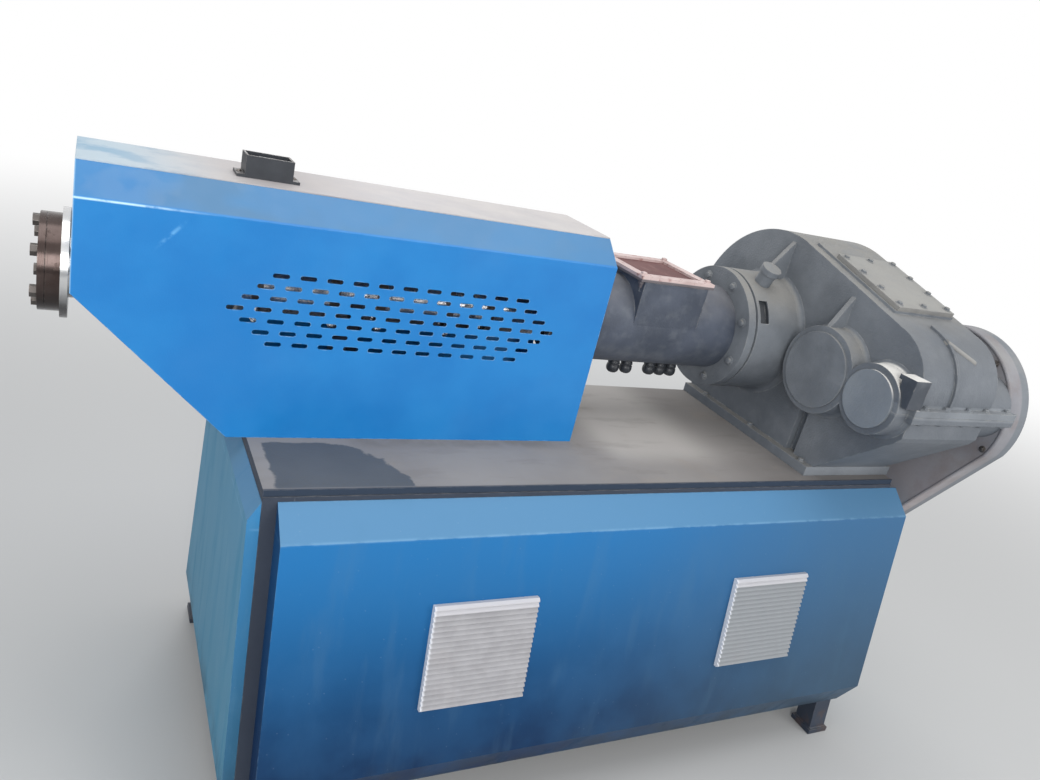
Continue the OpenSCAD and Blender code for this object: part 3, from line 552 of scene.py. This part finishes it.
barrel_steel = turned_steel("turned steel", (206, 206, 206), (228, 228, 228),
                            roughness=0.2, patch=0.12, low_shade=0.85)
adapter_steel = turned_steel("browned steel", (68, 57, 54), (90, 79, 76),
                             roughness=0.2, patch=0.3, low_shade=0.75, worn=0.15)
bolt_steel = turned_steel("bolt steel", (88, 84, 82), (118, 112, 108),
                          roughness=0.5, patch=0.45, rings=300.0)
band_steel = turned_steel("band sheet", (222, 224, 226), (244, 244, 246),
                          roughness=0.2, patch=0.1, rings=300.0)

# %% [markdown]
# ## Grey castings
#
# The gearbox is cast iron under grey enamel. Sand leaves a coarse, pebbly skin that paint softens, and
# pale dust lies on every face that looks up, almost cream on the sloping top. A sculpted skin would
# need millions of faces, so the bump carries it. Shade is painted on faces that look down, in a recess by
# the bearing, under the bearings and on the operator's side. The same function makes every casting, and
# its arguments say how dusty and gritty each one is, how much its operator's side is wiped and shaded,
# and how much shade is painted under its bearings.


# %% Castings
def casting(name, shade, light, dust_tint, dust, grit, wiped=0.0, bearing_shade=0.0):
    """Cast and painted iron: two greys, dust by how far the face looks up, chipped edges, pebbly bump.
    Wiped thins the dust on the operator's side and darkens those faces as painted shade. The last argument
    is painted shade under the bearings, and faces that look down and the recess by the bearing get painted
    shade too."""
    iron = Finish(name, roughness=0.6)
    iron.undercoat(iron.noise(8.0, 4.0).step(0.3, 0.7), shade, light)
    oil = iron.noise(5.0, 5.0, 0.6, iron.stretched(1.0, 1.0, 0.4)).step(0.54, 0.7)
    iron.over(oil * 0.35, (66, 70, 78))
    # painted shade: darker below the axis, behind the front faces, under the bearings
    shade_under_bearing = (1 - iron.past("z", AXIS_Z - 150, AXIS_Z - 30)) * iron.past("y", -270, -170)
    iron.over(shade_under_bearing * iron.noise(7.0, 4.0).step(0.2, 0.5) * bearing_shade, (70, 79, 90))
    # painted shade: faces that look down are darker, broken up by noise
    below = (0 - iron.up).step(0.05, 0.8) * iron.noise(6.0, 4.0).step(0.2, 0.5)
    iron.over(below * 0.4, (72, 80, 91))
    # painted shade: front faces are darkened, except along the split flange, and their dust is thinned
    # where wiped
    front = 1 - iron.past("y", -420, -260)
    off_split = 1 - iron.z.near(metres("z", AXIS_Z + 8), 0.02).step(0.2, 0.4)
    iron.over(front * off_split * wiped * 0.8, (86, 92, 100))
    lying = iron.up.step(0.25, 0.85) * (0.45 + iron.noise(14.0, 5.0, 0.6).step(0.25, 0.6) * 0.55)
    iron.over(lying * (1 - front * wiped) * dust, dust_tint)
    over_input = (1 - iron.past("x", 1466, 1470)) * (1 - iron.past("y", -370, -340))
    caked = iron.up.step(0.35, 0.75) * over_input * iron.noise(20.0, 4.0).step(0.25, 0.45)
    iron.over(caked * 0.9, (232, 229, 223))
    # painted shade: a near-black band in the recess by the bearing housing
    from_axis = iron.distance((0, 1, 1), (0.0, metres("y", 0), metres("z", AXIS_Z)))
    recess_shade = (1 - from_axis.step(0.1365, 0.1385)) * iron.x.near(metres("x", 1359.5), 0.03).step(0.4, 0.5)
    iron.over(recess_shade * 0.85, (34, 38, 44))
    iron.over(iron.noise(30.0, 5.0).step(0.45, 0.75) * 0.2, (134, 138, 142))
    iron.over(iron.wear(0.004, 45.0) * 0.6, (168, 168, 166))
    pebbles = iron.noise(190.0, 4.0, 0.6) * 0.7 + iron.cells(240.0) * 0.3
    return iron.finish(0.56 + lying * 0.25, pebbles, height=grit, rounding=0.003)


cast_grey = casting("casting grey", (106, 111, 117), (128, 133, 139), (144, 141, 135),
                    dust=0.8, grit=0.0011, wiped=0.8, bearing_shade=0.5)
cover_grey = casting("cover grey", (128, 127, 125), (147, 145, 141), (157, 156, 152), dust=0.7, grit=0.0006)
feed_grey = casting("feed grey", (58, 65, 78), (80, 87, 101), (132, 130, 130), dust=0.45, grit=0.0007)
motor_blue = casting("motor blue", (44, 78, 116), (60, 96, 136), (130, 132, 134), dust=0.7, grit=0.0009)
cap_grey = casting("cap grey", (120, 127, 135), (138, 145, 152), (196, 200, 204), dust=1.0, grit=0.0009)
# painted shade: the oil level cup is a darker grey, so that its lamp-lit front reads dark
cup_grey = casting("cup grey", (54, 60, 69), (74, 80, 89), (176, 180, 184), dust=1.0, grit=0.0004)

# %% [markdown]
# ## The belt guard
#
# The guard is folded sheet over the drive belts, grey under their brown dust. The lip behind its front
# face is darker, and its lower part is reddish and painted paler as painted light, where it sits in
# shade. Splitting the mesh for each tone would leave hard borders. Soft masks from the height and from
# the guard's own CAD box don't.

# %% Guard brown
GUARD_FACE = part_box("belt_guard")[0].x
guard = Finish("guard brown", roughness=0.65)
guard.undercoat(guard.noise(7.0, 4.0).step(0.3, 0.7), (126, 126, 132), (146, 146, 150))
# painted light: the guard's lower part is reddish and made paler
guard.over((1 - guard.z.step(0.45, 0.85)) * 0.8, (180, 168, 168))
brown = guard.noise(11.0, 5.0, 0.6).step(0.45, 0.68)
guard.over(brown * 0.35, (124, 106, 98))
guard.over(guard.x.step(GUARD_FACE + 0.040, GUARD_FACE + 0.046) * 0.8, (110, 117, 124))
lying = guard.up.step(0.3, 0.9) * guard.noise(18.0, 4.0).step(0.3, 0.6)
guard.over(lying * 0.5, (150, 148, 146))
guard.over(guard.wear(0.003, 50.0) * 0.5, (160, 160, 158))
guard_brown = guard.finish(0.6 + brown * 0.15, guard.noise(150.0, 4.0), height=0.0004)

# %% [markdown]
# ## Finishes onto the CAD nodes
#
# The CAD nodes come in with plain colours. Each could be given its finish by name, but the record
# already says which material slot a node takes. The same slot names lead here to the finishes, so one
# loop dresses the whole machine. Two small castings then get a tint of their own, and the oil level
# cup's darker tint is painted shade.

# %% Dress the CAD nodes
finishes = {
    "hood_blue": hood_blue, "panel_blue": panel_blue, "hood_top_pale": hood_top_pale,
    "frame_dark": frame_dark, "table_grey": table_grey, "grille_white": grille_white,
    "barrel_steel": barrel_steel, "adapter_steel": adapter_steel, "bolt_steel": bolt_steel,
    "band_steel": band_steel, "feed_grey": feed_grey, "hopper_rim": hopper_rim,
    "cover_red": cover_red, "cast_grey": cast_grey, "cover_grey": cover_grey,
    "fitting_black": fitting_black, "motor_blue": motor_blue, "guard_brown": guard_brown,
}
for subpart in frame["record"]["subparts"]:
    node = frame["nodes"][subpart["node"]]
    node.data.materials.clear()
    node.data.materials.append(finishes[subpart["material_slot"]])
for name, material in (("bearing_cap_input", cap_grey), ("oil_level_cup", cup_grey)):
    frame["nodes"][name].data.materials[0] = material

# %% [markdown]
# ## Meshes from arrays
#
# The small pieces are nearly all turned or drawn: a profile spun about an axis, or a ring carried along
# a path. Blender's Spin tool or a bevelled curve could make each of them by hand. As grids of points
# worked out at once, fifty bolts are one array and one mesh. Points are k patches by u by v, and
# doubled points at seams and poles are merged afterwards.

# %% Grids to meshes
MERGE, SLIVER = 2e-6, 1e-6
SHARP = math.radians(35)


def quads(points, wrap_u, wrap_v):
    """Faces of a k x u x v grid: each joins a point, its neighbour in u, the one across, and its
    neighbour in v. Where a direction wraps, its first row follows its last."""
    k, u, v = points.shape[:3]
    index = np.arange(k * u * v).reshape(k, u, v)
    index = np.pad(index, ((0, 0), (0, int(wrap_u)), (0, int(wrap_v))), mode="wrap")
    here, ahead = index[:, :-1, :-1], index[:, 1:, :-1]
    across, beside = index[:, 1:, 1:], index[:, :-1, 1:]
    return np.stack([here, ahead, across, beside], -1).reshape(-1, 4)


def make_piece(name, grids, slot, material=None):
    """One object from several (points in mm, wrap_u, wrap_v) grids: all their points, and all their faces
    with the count of the points before added. It is smooth except where faces meet past SHARP."""
    verts = [place(points).reshape(-1, 3) for points, _, _ in grids]
    starts = np.cumsum([0] + [len(part) for part in verts])
    faces = [quads(*grid) + start for grid, start in zip(grids, starts)]
    mesh = bpy.data.meshes.new(name)
    mesh.from_pydata(np.concatenate(verts), [], np.concatenate(faces))
    whole = bmesh.new()
    whole.from_mesh(mesh)
    bmesh.ops.remove_doubles(whole, verts=whole.verts, dist=MERGE)
    bmesh.ops.dissolve_degenerate(whole, edges=whole.edges, dist=SLIVER)
    bmesh.ops.recalc_face_normals(whole, faces=whole.faces)
    whole.to_mesh(mesh)
    whole.free()
    mesh.polygons.foreach_set("use_smooth", np.ones(len(mesh.polygons), bool))
    mesh.set_sharp_from_angle(angle=SHARP)
    mesh.materials.append(material or finishes[slot])
    piece = bpy.data.objects.new(name, mesh)
    scene.collection.objects.link(piece)
    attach(piece, "root")
    print(name, len(mesh.polygons), "faces")


print("a grid of 3 by 4 points has", len(quads(np.zeros((1, 3, 4, 3)), False, False)), "faces")

# %% [markdown]
# ## Turned shapes and hexagon bolts
#
# A bolt head is a hexagon on a round washer, with its corners chamfered on top. A six-sided cylinder
# would lack the chamfer, and copies of one model would each be an object. So one profile of radii and
# heights is turned about every bolt's own axis, and the rings marked as six become hexagons.


# %% Turned shapes
def axes_across(axis):
    """Two directions at right angles to each axis: the axis crossed with x or z, and crossed again."""
    axis = np.asarray(axis, float)
    axis = axis / np.linalg.norm(axis, axis=-1, keepdims=True)
    other = np.where(np.abs(axis[..., :1]) > 0.8, [0.0, 0.0, 1.0], [1.0, 0.0, 0.0])
    side = np.cross(other, axis)
    side = side / np.linalg.norm(side, axis=-1, keepdims=True)
    return axis, side, np.cross(axis, side)


def turned(profile, centres, axis, steps=24, closed=False):
    """A profile of (radius, height, six) turned about an axis through each centre. Where six is 1 the
    ring is a hexagon: its radius is the apothem over the cosine of the angle to the flat."""
    radius, height, six = np.asarray(profile, float).T
    centres = np.atleast_2d(np.asarray(centres, float))
    axis, side, up = axes_across(np.broadcast_to(axis, centres.shape))
    angle = np.arange(steps) * 2 * np.pi / steps
    flat = np.mod(angle, np.pi / 3) - np.pi / 6
    reach = radius[:, None] * np.where(six[:, None] > 0, 1 / np.cos(flat)[None], 1.0)
    ring = np.cos(angle)[:, None] * side[:, None, None, :] + np.sin(angle)[:, None] * up[:, None, None, :]
    points = centres[:, None, None, :] + reach[None, :, :, None] * ring
    points = points + height[None, :, None, None] * axis[:, None, None, :]
    return points, closed, True


def bolts(centres, axis, across, head, washer):
    """Hexagon heads on washers: rings at the washer's rim, the head's flats and its chamfered top."""
    rim, flat = across * 0.84, across / 2
    profile = [
        (0, -1, 0), (rim, -1, 0), (rim, washer * 0.7, 0), (rim - 0.6, washer, 0), (flat * 0.98, washer, 1),
        (flat, washer + 0.3, 1), (flat, washer + head * 0.8, 1), (flat * 1.02, washer + head * 0.93, 0),
        (flat * 0.86, washer + head, 0), (0, washer + head, 0),
    ]
    return turned(profile, centres, axis)


print("one bolt is a grid of", bolts([0, 0, 0], [0, 0, 1], 13, 7, 1.8)[0].shape[1:3], "points")

# %% [markdown]
# ## Bolts of the inspection cover
#
# A row of bolts along each long side holds the cover, and one more stands in the middle of each end. The
# cover slopes by 15.7 degrees, so bolts that are placed by eye would lean wrong. Two unit vectors, out
# of the slope and down along it, turn the sloping rows into plain distances.

# %% Inspection cover bolts
WALL_X0, WALL_X1 = 1471.0, 1707.0
SLOPE = math.radians(15.7)
COVER_RISE, COVER_THICK = 245.0, 16.0
ROW_SIDE, ROW_START, ROW_END = 76.0, 76.0, 256.0
slope_up = np.array([0.0, -math.sin(SLOPE), math.cos(SLOPE)])
slope_down = np.array([0.0, -math.cos(SLOPE), -math.sin(SLOPE)])
crown = np.array([(WALL_X0 + WALL_X1) / 2, 0.0, AXIS_Z]) + COVER_RISE * slope_up
side, along = np.meshgrid([-ROW_SIDE, ROW_SIDE], np.linspace(ROW_START, ROW_END, 4))
side = np.append(side, [0.0, 0.0])[:, None]
along = np.append(along, [ROW_START, ROW_END])[:, None]
cover_spots = crown + side * [1.0, 0.0, 0.0] + along * slope_down + COVER_THICK * slope_up
cover_bolts = bolts(cover_spots, slope_up, across=11.0, head=4.5, washer=1.0)
make_piece("inspection_cover_bolts", [cover_bolts], "cast_grey")

# %% [markdown]
# ## Bolts of the bearing housing and the casing
#
# Eight bolts stand round the housing's face. The two halves of the casing are bolted through their
# flanges, head above and nut below, and the feet are bolted down. An array modifier could repeat a
# bolt, but the front row is uneven to clear the bearings, so its places are written out.


# %% Bearing, split and foot bolts
def spots(x, y, z):
    """Points from their coordinates: each is one number or an array, and they are broadcast and stacked."""
    return np.stack(np.broadcast_arrays(x, y, z), -1).reshape(-1, 3).astype(float)


BEARING_X, BEARING_CIRCLE = 1313.0, 118.0
turn_8 = np.radians(22.5 + np.arange(8) * 45)
ring = spots(BEARING_X, BEARING_CIRCLE * np.cos(turn_8), AXIS_Z + BEARING_CIRCLE * np.sin(turn_8))
ring_bolts = bolts(ring, [-1, 0, 0], across=13.0, head=6.0, washer=1.2)
make_piece("bearing_flange_bolts", [ring_bolts], "cast_grey")

SPLIT_THICK, SPLIT_REAR, SPLIT_FRONT = 15.0, 252.0, -477.5
rear_x = np.linspace(WALL_X0 + 30, WALL_X1 - 30, 3)
front_x = np.array([WALL_X0 + 26, WALL_X0 + 90, WALL_X1 - 74, WALL_X1 - 16, WALL_X1 + 56])
split = np.concatenate([spots(rear_x, SPLIT_REAR, AXIS_Z), spots(front_x, SPLIT_FRONT, AXIS_Z)])
make_piece("split_flange_bolts", [
    bolts(split + [0, 0, up * SPLIT_THICK], [0, 0, up], across=10.0, head=5.0, washer=1.2) for up in (1, -1)
], "cast_grey")

FOOT_THICK = 22.0
foot_x, foot_y = np.array([WALL_X0 - 10, WALL_X1 + 6]), np.array([[-270.0], [-90.0], [90.0]])
feet = spots(foot_x, foot_y, TABLE_Z + FOOT_THICK)
foot_bolts = bolts(feet, [0, 0, 1], across=11.0, head=5.0, washer=1.2)
make_piece("foot_flange_bolts", [foot_bolts], "cast_grey")

# %% [markdown]
# ## Cast fillets
#
# No casting has a sharp inside corner, because the metal would crack there as it cools. So each boss
# flows into its wall through a fillet. A Bevel modifier rounds only edges within one mesh, and boss and
# wall just cross each other. A quarter circle, hollow side out, turned about the boss, fills the corner.


# %% Fillets round the bosses
def cove(radius, size, centre, axis):
    """A cast fillet round a boss: a quarter circle, hollow side out, from the face up the boss's side,
    sunk a little into both."""
    t = np.linspace(0, np.pi / 2, 9)
    curve = np.stack([radius + size - size * np.cos(t), size - size * np.sin(t), 0 * t], -1)
    back = [(radius + size, -1, 0), (radius - 1.5, -1, 0), (radius - 1.5, size, 0)]
    return turned(np.concatenate([curve, back]), centre, axis, steps=96, closed=True)


BOSSES = ((0, 140.0, 12.0), (-250, 96.0, 9.0), (-400, 73.0, 9.0))
make_piece("casting_fillets_front", [
    cove(radius, size, [WALL_X0, y, AXIS_Z], [-1, 0, 0]) for y, radius, size in BOSSES
], "cast_grey")

# %% [markdown]
# ## The rib on the shoulder
#
# A short cast rib crosses the shoulder beside the belt guard. It could be a stretched cylinder, but the
# guard's roll and the welds further on are also round bars along a path. So one function carries a ring
# of points along any path and closes its ends.


# %% Shoulder rib and rear fillet
def tube(path, radius, normal, sides=10, loop=False):
    """A round bar along a path in a plane: each ring lies across the path's own direction, its points at
    the cosine of the angle sideways and the sine along the plane's normal."""
    path = np.asarray(path, float)
    ahead = np.roll(path, -1, 0) - np.roll(path, 1, 0) if loop else np.gradient(path, axis=0)
    ahead = ahead / np.linalg.norm(ahead, axis=1, keepdims=True)
    side = np.cross(ahead, normal)
    phi = np.arange(sides) * 2 * np.pi / sides
    radius = np.broadcast_to(radius, path.shape[:1])
    around = np.cos(phi)[None, :, None] * side[:, None] + np.sin(phi)[None, :, None] * np.asarray(normal)
    points = path[:, None] + radius[:, None, None] * around
    if not loop:
        pole = np.zeros_like(points[:1])
        points = np.concatenate([path[:1, None] + pole, points, path[-1:, None] + pole])
    return points[None], loop, True


RIB_START, RIB_END = np.array([1566.0, -415.0, TABLE_Z + 373]), np.array([1636.0, -443.0, TABLE_Z + 343])
rib_t = np.linspace(0, 1, 12)[:, None]
rib = RIB_START * (1 - rib_t) + RIB_END * rib_t
make_piece("shoulder_rib", [tube(rib, 6.5, [0.0, 0.9, 0.43], sides=12)], "cast_grey", cover_grey)
make_piece("casting_fillets_rear", [cove(73.0, 9.0, [WALL_X1, 0, AXIS_Z], [1, 0, 0])], "cast_grey")

# %% [markdown]
# ## Bolts of the hopper flange
#
# The hopper stands on a square flange, held at its four corners. Each bolt shows its head on top, and a
# nut and a thread end below. A modelled thread would be lost at this size, so its end is a plain
# turned pin with a chamfer.

# %% Hopper bolts
INLET_X = 1119.0
corner = np.array([-84.0, 84.0])
flange_top = spots(INLET_X + corner, corner[:, None], flange_high.z * MM)
flange_below = spots(INLET_X + corner, corner[:, None], flange_low.z * MM)
thread = [(0, 0, 0), (3.6, 0, 0), (4.0, 5, 0), (4.0, 15, 0), (3.2, 16, 0), (0, 16, 0)]
make_piece("hopper_flange_bolts", [
    bolts(flange_top, [0, 0, 1], across=11.0, head=4.5, washer=1.2),
    bolts(flange_below, [0, 0, -1], across=12.0, head=7.0, washer=1.4),
    turned(thread, flange_below, [0, 0, -1], steps=16),
], "hopper_rim")

# %% [markdown]
# ## Hose fittings
#
# Short black fittings for cooling water hang under the feed housing. Each is a collar and a rounded knob
# with a hole in its end. Joining a sphere and two cylinders would take Booleans. One profile that runs
# down the outside and back up the hole needs none.

# %% Hose fittings
FEED_R = 97.0
stems = INLET_X + np.array([-35.0, 0.0, 65.0, 95.0, 125.0])
fitting = [(0, 0, 0), (11.2, 0, 0), (12.0, -4, 0), (13.2, -6, 0), (13.8, -10, 0), (12.4, -13, 0),
           (14.2, -15, 0), (14.8, -20, 0), (14.4, -25, 0), (12.6, -29, 0), (9.4, -32, 0), (5.0, -33.5, 0),
           (4.2, -32, 0), (4.2, -24, 0), (0, -24, 0)]
hoses = turned(fitting, spots(stems, 0.0, AXIS_Z - FEED_R), [0, 0, 1])
make_piece("hose_fittings", [hoses], "fitting_black")

# %% [markdown]
# ## Heater bands
#
# Behind the hood's slots, four heaters grip the barrel. Each is a strip of sheet, pulled tight by screws
# through its ears, with a strap at each screw. Little of this shows, and plain rings would nearly do, but
# the screws catch the light through the slots. Their places follow from the CAD node's own length.

# %% Band clamps
BAND_COUNT, BAND_GAP, BAND_R = 4, 26.0, 63.0
EAR_INSET, EAR_HIGH, EAR_TURN, ROD_HALF = 30, 9, math.radians(208), 16
bands_low, bands_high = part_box("heater_bands")
band_start, band_end = bands_low.x * MM - DIE_END, bands_high.x * MM - DIE_END
band_w = (band_end - band_start - (BAND_COUNT - 1) * BAND_GAP) / BAND_COUNT
first = band_start + np.arange(BAND_COUNT) * (band_w + BAND_GAP)
screw_x = np.sort(np.concatenate([first + EAR_INSET, first + band_w - EAR_INSET]))
outward = np.array([0.0, math.cos(EAR_TURN), math.sin(EAR_TURN)])
tangent = np.array([0.0, -math.sin(EAR_TURN), math.cos(EAR_TURN)])
ears = spots(screw_x, 0.0, AXIS_Z) + outward * (BAND_R + EAR_HIGH)
rod = [(0, -ROD_HALF, 0), (6.0, -ROD_HALF, 0), (6.0, ROD_HALF, 0), (0, ROD_HALF, 0)]
make_piece("band_clamp_screws", [
    turned(rod, ears, tangent, steps=16),
    bolts(ears + tangent * ROD_HALF, tangent, across=10.0, head=6.0, washer=1.2),
], "band_steel")
strap = [(BAND_R, -9, 0), (BAND_R + 1.6, -9, 0), (BAND_R + 1.6, 9, 0), (BAND_R, 9, 0)]
straps = turned(strap, spots(screw_x, 0.0, AXIS_Z), [1, 0, 0], steps=72, closed=True)
make_piece("band_straps", [straps], "bolt_steel")

# %% [markdown]
# ## The guard's rolled edge
#
# A folded guard is stiffened by rolling its open edge over a wire, and screws hold its face. The edge
# could be traced with a curve. Its path is known exactly, though: two arcs about the pulleys' centres,
# joined by their common tangents, so it is worked out and a small ring is carried along it.

# %% Rolled edge and screws of the guard
GUARD_TILT, GUARD_SPAN = math.radians(27.0), 640.0
UPPER_R, LOWER_R = 176.0, 120.0


def guard_outline(inset):
    """Points round the guard, inset from the outside: an arc about each centre, from tangent to tangent.
    The tangents lean by the arcsine of the difference of the radii over the distance of the centres."""
    top = np.array([-298.0, TABLE_Z + 203.0])
    foot = top + GUARD_SPAN * np.array([math.sin(GUARD_TILT), -math.cos(GUARD_TILT)])
    lean = math.pi / 2 - math.asin((UPPER_R - LOWER_R) / GUARD_SPAN)
    up = math.pi / 2 + GUARD_TILT
    a = np.linspace(up - lean, up + lean, 72)
    b = np.linspace(up + lean, up + 2 * math.pi - lean, 48)
    one = top + (UPPER_R - inset) * np.stack([np.cos(a), np.sin(a)], -1)
    two = foot + (LOWER_R - inset) * np.stack([np.cos(b), np.sin(b)], -1)
    return np.concatenate([one, two])


GUARD_X = 1785.0
rolled = spots(GUARD_X + 1.0, *guard_outline(1.5).T)
make_piece("guard_rolled_edge", [tube(rolled, 4.0, [1.0, 0, 0], loop=True)], "guard_brown")
guard_screws = spots(GUARD_X, *guard_outline(14.0)[::10].T)
screw_bolts = bolts(guard_screws, [-1, 0, 0], across=9.0, head=4.0, washer=1.2)
make_piece("guard_screws", [screw_bolts], "bolt_steel")

# %% [markdown]
# ## Welds of the frame
#
# The square tubes of the base are welded. A bead isn't smooth, because each drop of metal freezes before
# the next. A bump could fake that on a flat strip, but the bead's outline would stay straight. So it is
# a bar along the joint whose radius ripples.

# %% Frame welds
BASE_X0, BASE_X1, TUBE, PAD = 275.0, 1719.0, 50.0, 12.0
FRONT_Y, REAR_Y, LEAN = -324.0, 166.0, math.tan(math.radians(8.5))
RAIL_HEIGHTS = (97.0, 147.0, 608.0)
BEAD_R, DROP, CLEAR = 3.0, 1.6, 2


def front_at(z):
    """The leaning front face: its place at the table, further out the lower it is."""
    return FRONT_Y - (TABLE_Z - z) * LEAN


def rear_at(z):
    """The leaning rear face: its place at the table, further out the lower it is."""
    return REAR_Y + (TABLE_Z - z) * LEAN


def weld(start, end):
    """A weld bead: a bar along the joint whose radius swells and shrinks with the cosine of the drop's
    number, by a seventh of itself."""
    start, end = np.asarray(start, float), np.asarray(end, float)
    count = max(int(np.linalg.norm(end - start) / DROP), 6)
    t = np.linspace(0, 1, count)[:, None]
    ripple = BEAD_R * (1 + 0.14 * np.cos(np.arange(count) * 2.1))
    return tube(start + t * (end - start), ripple, [0, 0, 1], sides=8)


beads = []
for x0, inner in ((BASE_X0, BASE_X0 + TUBE), (BASE_X1 - TUBE, BASE_X1 - TUBE)):
    for z in RAIL_HEIGHTS:
        beads.append(weld([inner, front_at(z) + CLEAR, z], [inner, front_at(z) + TUBE - CLEAR, z]))
        beads.append(weld([inner, rear_at(z) - CLEAR, z], [inner, rear_at(z) - TUBE + CLEAR, z]))
    for y in (front_at(PAD), rear_at(PAD) - TUBE):
        beads.extend(weld([x0, side, PAD], [x0 + TUBE, side, PAD]) for side in (y, y + TUBE))
        beads.extend(weld([side, y, PAD], [side, y + TUBE, PAD]) for side in (x0, x0 + TUBE))
make_piece("frame_welds", beads, "frame_dark")

# %% [markdown]
# ## Connector insert
#
# The black base on the hood takes a heavy plug. Inside its rim stand two rows of contacts, and a screw
# holds each end of its flange. Drawn on as dots they would look flat from the side. Turned pins with a
# chamfered tip cost few faces and catch a highlight each.

# %% Connector insert
HOOD_TOP_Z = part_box("hood_top")[1].z * MM
PLUG_X, PLUG_Y, PLUG_L, PLUG_W = 241.0, -47.0, 77.0, 48.0
pin_x = np.linspace(PLUG_X + 16, PLUG_X + PLUG_L - 16, 5)
pin_y = np.array([[PLUG_Y + 17], [PLUG_Y + PLUG_W - 17]])
contact = [(0, -1, 0), (3.0, -1, 0), (3.0, 9, 0), (2.4, 10, 0), (0, 10, 0)]
contacts = turned(contact, spots(pin_x, pin_y, HOOD_TOP_Z + 7.0), [0, 0, 1], steps=12)
make_piece("connector_contacts", [contacts], "barrel_steel")
screw_ends = spots(np.array([PLUG_X - 6.0, PLUG_X + PLUG_L + 6.0]), PLUG_Y + PLUG_W / 2, HOOD_TOP_Z + 5.0)
pan = [(0, -1, 0), (4.2, -1, 0), (4.2, 0.6, 0), (3.6, 1.8, 0), (2.2, 2.5, 0), (0, 2.6, 0)]
make_piece("connector_screws", [turned(pan, screw_ends, [0, 0, 1], steps=20)], "bolt_steel")

# %% [markdown]
# ## The studio's floor
#
# A machine is best seen on a plain pale floor that fades into the background. A curved backdrop would do
# it for one view only. Here the floor is flat, and far from the machine it turns to plain white for the
# camera's own rays, so it gives no light of its own and keeps the machine's shadow.

# %% Floor
FLOOR_HALF, FLOOR_DROP = 30.0, 0.0005
floor_mesh = bpy.data.meshes.new("floor")
square = np.array([[-1, -1, 0], [1, -1, 0], [1, 1, 0], [-1, 1, 0]]) * FLOOR_HALF
floor_mesh.from_pydata(square - [0, 0, FLOOR_DROP], [], [[0, 1, 2, 3]])
floor = bpy.data.objects.new("floor", floor_mesh)
scene.collection.objects.link(floor)
ground = Finish("studio floor", roughness=0.8)
ground.shader.inputs["Base Color"].default_value = colour(196, 196, 195)
far = ground.node("ShaderNodeVectorMath", {"operation": "LENGTH"}, {0: ground.spot}, "Value").step(1.5, 6.0)
seen = ground.node("ShaderNodeLightPath", out="Is Camera Ray")
glow = ground.node("ShaderNodeEmission", {}, {"Color": (1, 1, 1, 1)})
blend = ground.node("ShaderNodeMixShader", {}, {
    0: far * seen, 1: Value(ground, ground.shader.outputs[0]), 2: glow})
ground.feed(ground.tree.nodes["Material Output"].inputs["Surface"], blend)
floor_mesh.materials.append(ground.material)
print("floor", 2 * FLOOR_HALF, "m wide")

# %% [markdown]
# ## The world
#
# The world lights the machine softly from all round. A brighter world would give a white background but
# wash the colours out. So the strong white is kept for rays that come from the camera, from a mirror
# or through glass, and all others meet the soft light.

# %% World
world = bpy.data.worlds.new("studio")
scene.world = world
world.use_nodes = True
sky = Nodes(world.node_tree)
soft = sky.tree.nodes["Background"]
soft.inputs["Color"].default_value = (0.93, 0.96, 1.0, 1)
soft.inputs["Strength"].default_value = 0.5
bright = sky.node("ShaderNodeBackground", {}, {"Color": (1, 1, 1, 1), "Strength": 1.0})
rays = ("Is Camera Ray", "Is Glossy Ray", "Is Transmission Ray")
direct, mirrored, through = (sky.node("ShaderNodeLightPath", out=ray) for ray in rays)
seen = direct.math("MAXIMUM", mirrored).math("MAXIMUM", through)
chosen = sky.node("ShaderNodeMixShader", {}, {0: seen, 1: Value(sky, soft.outputs[0]), 2: bright})
sky.feed(sky.tree.nodes["World Output"].inputs["Surface"], chosen)
print("world in", len(sky.tree.nodes), "nodes")

# %% [markdown]
# ## Lamps
#
# Four large square lamps stand round the machine, as soft boxes do in a photographer's studio. Small
# ones would throw hard shadows that hide the fasteners, and a sun lamp gives metal nothing to mirror.
# Each lamp is aimed by its matrix, since it shines along its own -Z.


# %% Lamps
def lamp(name, spot, target, size, power):
    """A square soft lamp at spot that shines at target: its -Z points along the line between them."""
    light = bpy.data.lights.new(name, "AREA")
    light.size, light.energy = size, power
    thing = bpy.data.objects.new(name, light)
    line = np.subtract(target, spot)
    line = line / np.linalg.norm(line)
    _, across, over = axes_across(-line)
    thing.matrix_world = standing((across, over, -line), spot)
    scene.collection.objects.link(thing)


lamp("overhead", (0.2, -0.3, 4.2), (0, 0, 0.6), size=3.0, power=55)
lamp("front_left", (-1.8, -3.6, 2.1), (-0.2, 0, 0.7), size=1.9, power=85)
lamp("front_right", (2.8, -3.8, 1.8), (0.2, 0, 0.5), size=2.4, power=65)
lamp("rear", (0.6, 4.0, 2.6), (0, 0, 0.6), size=2.4, power=55)
print("studio lit by 4 lamps")

# %% [markdown]
# ## The size
#
# The added pieces are trim, so the dressed machine must not outgrow the CAD model.
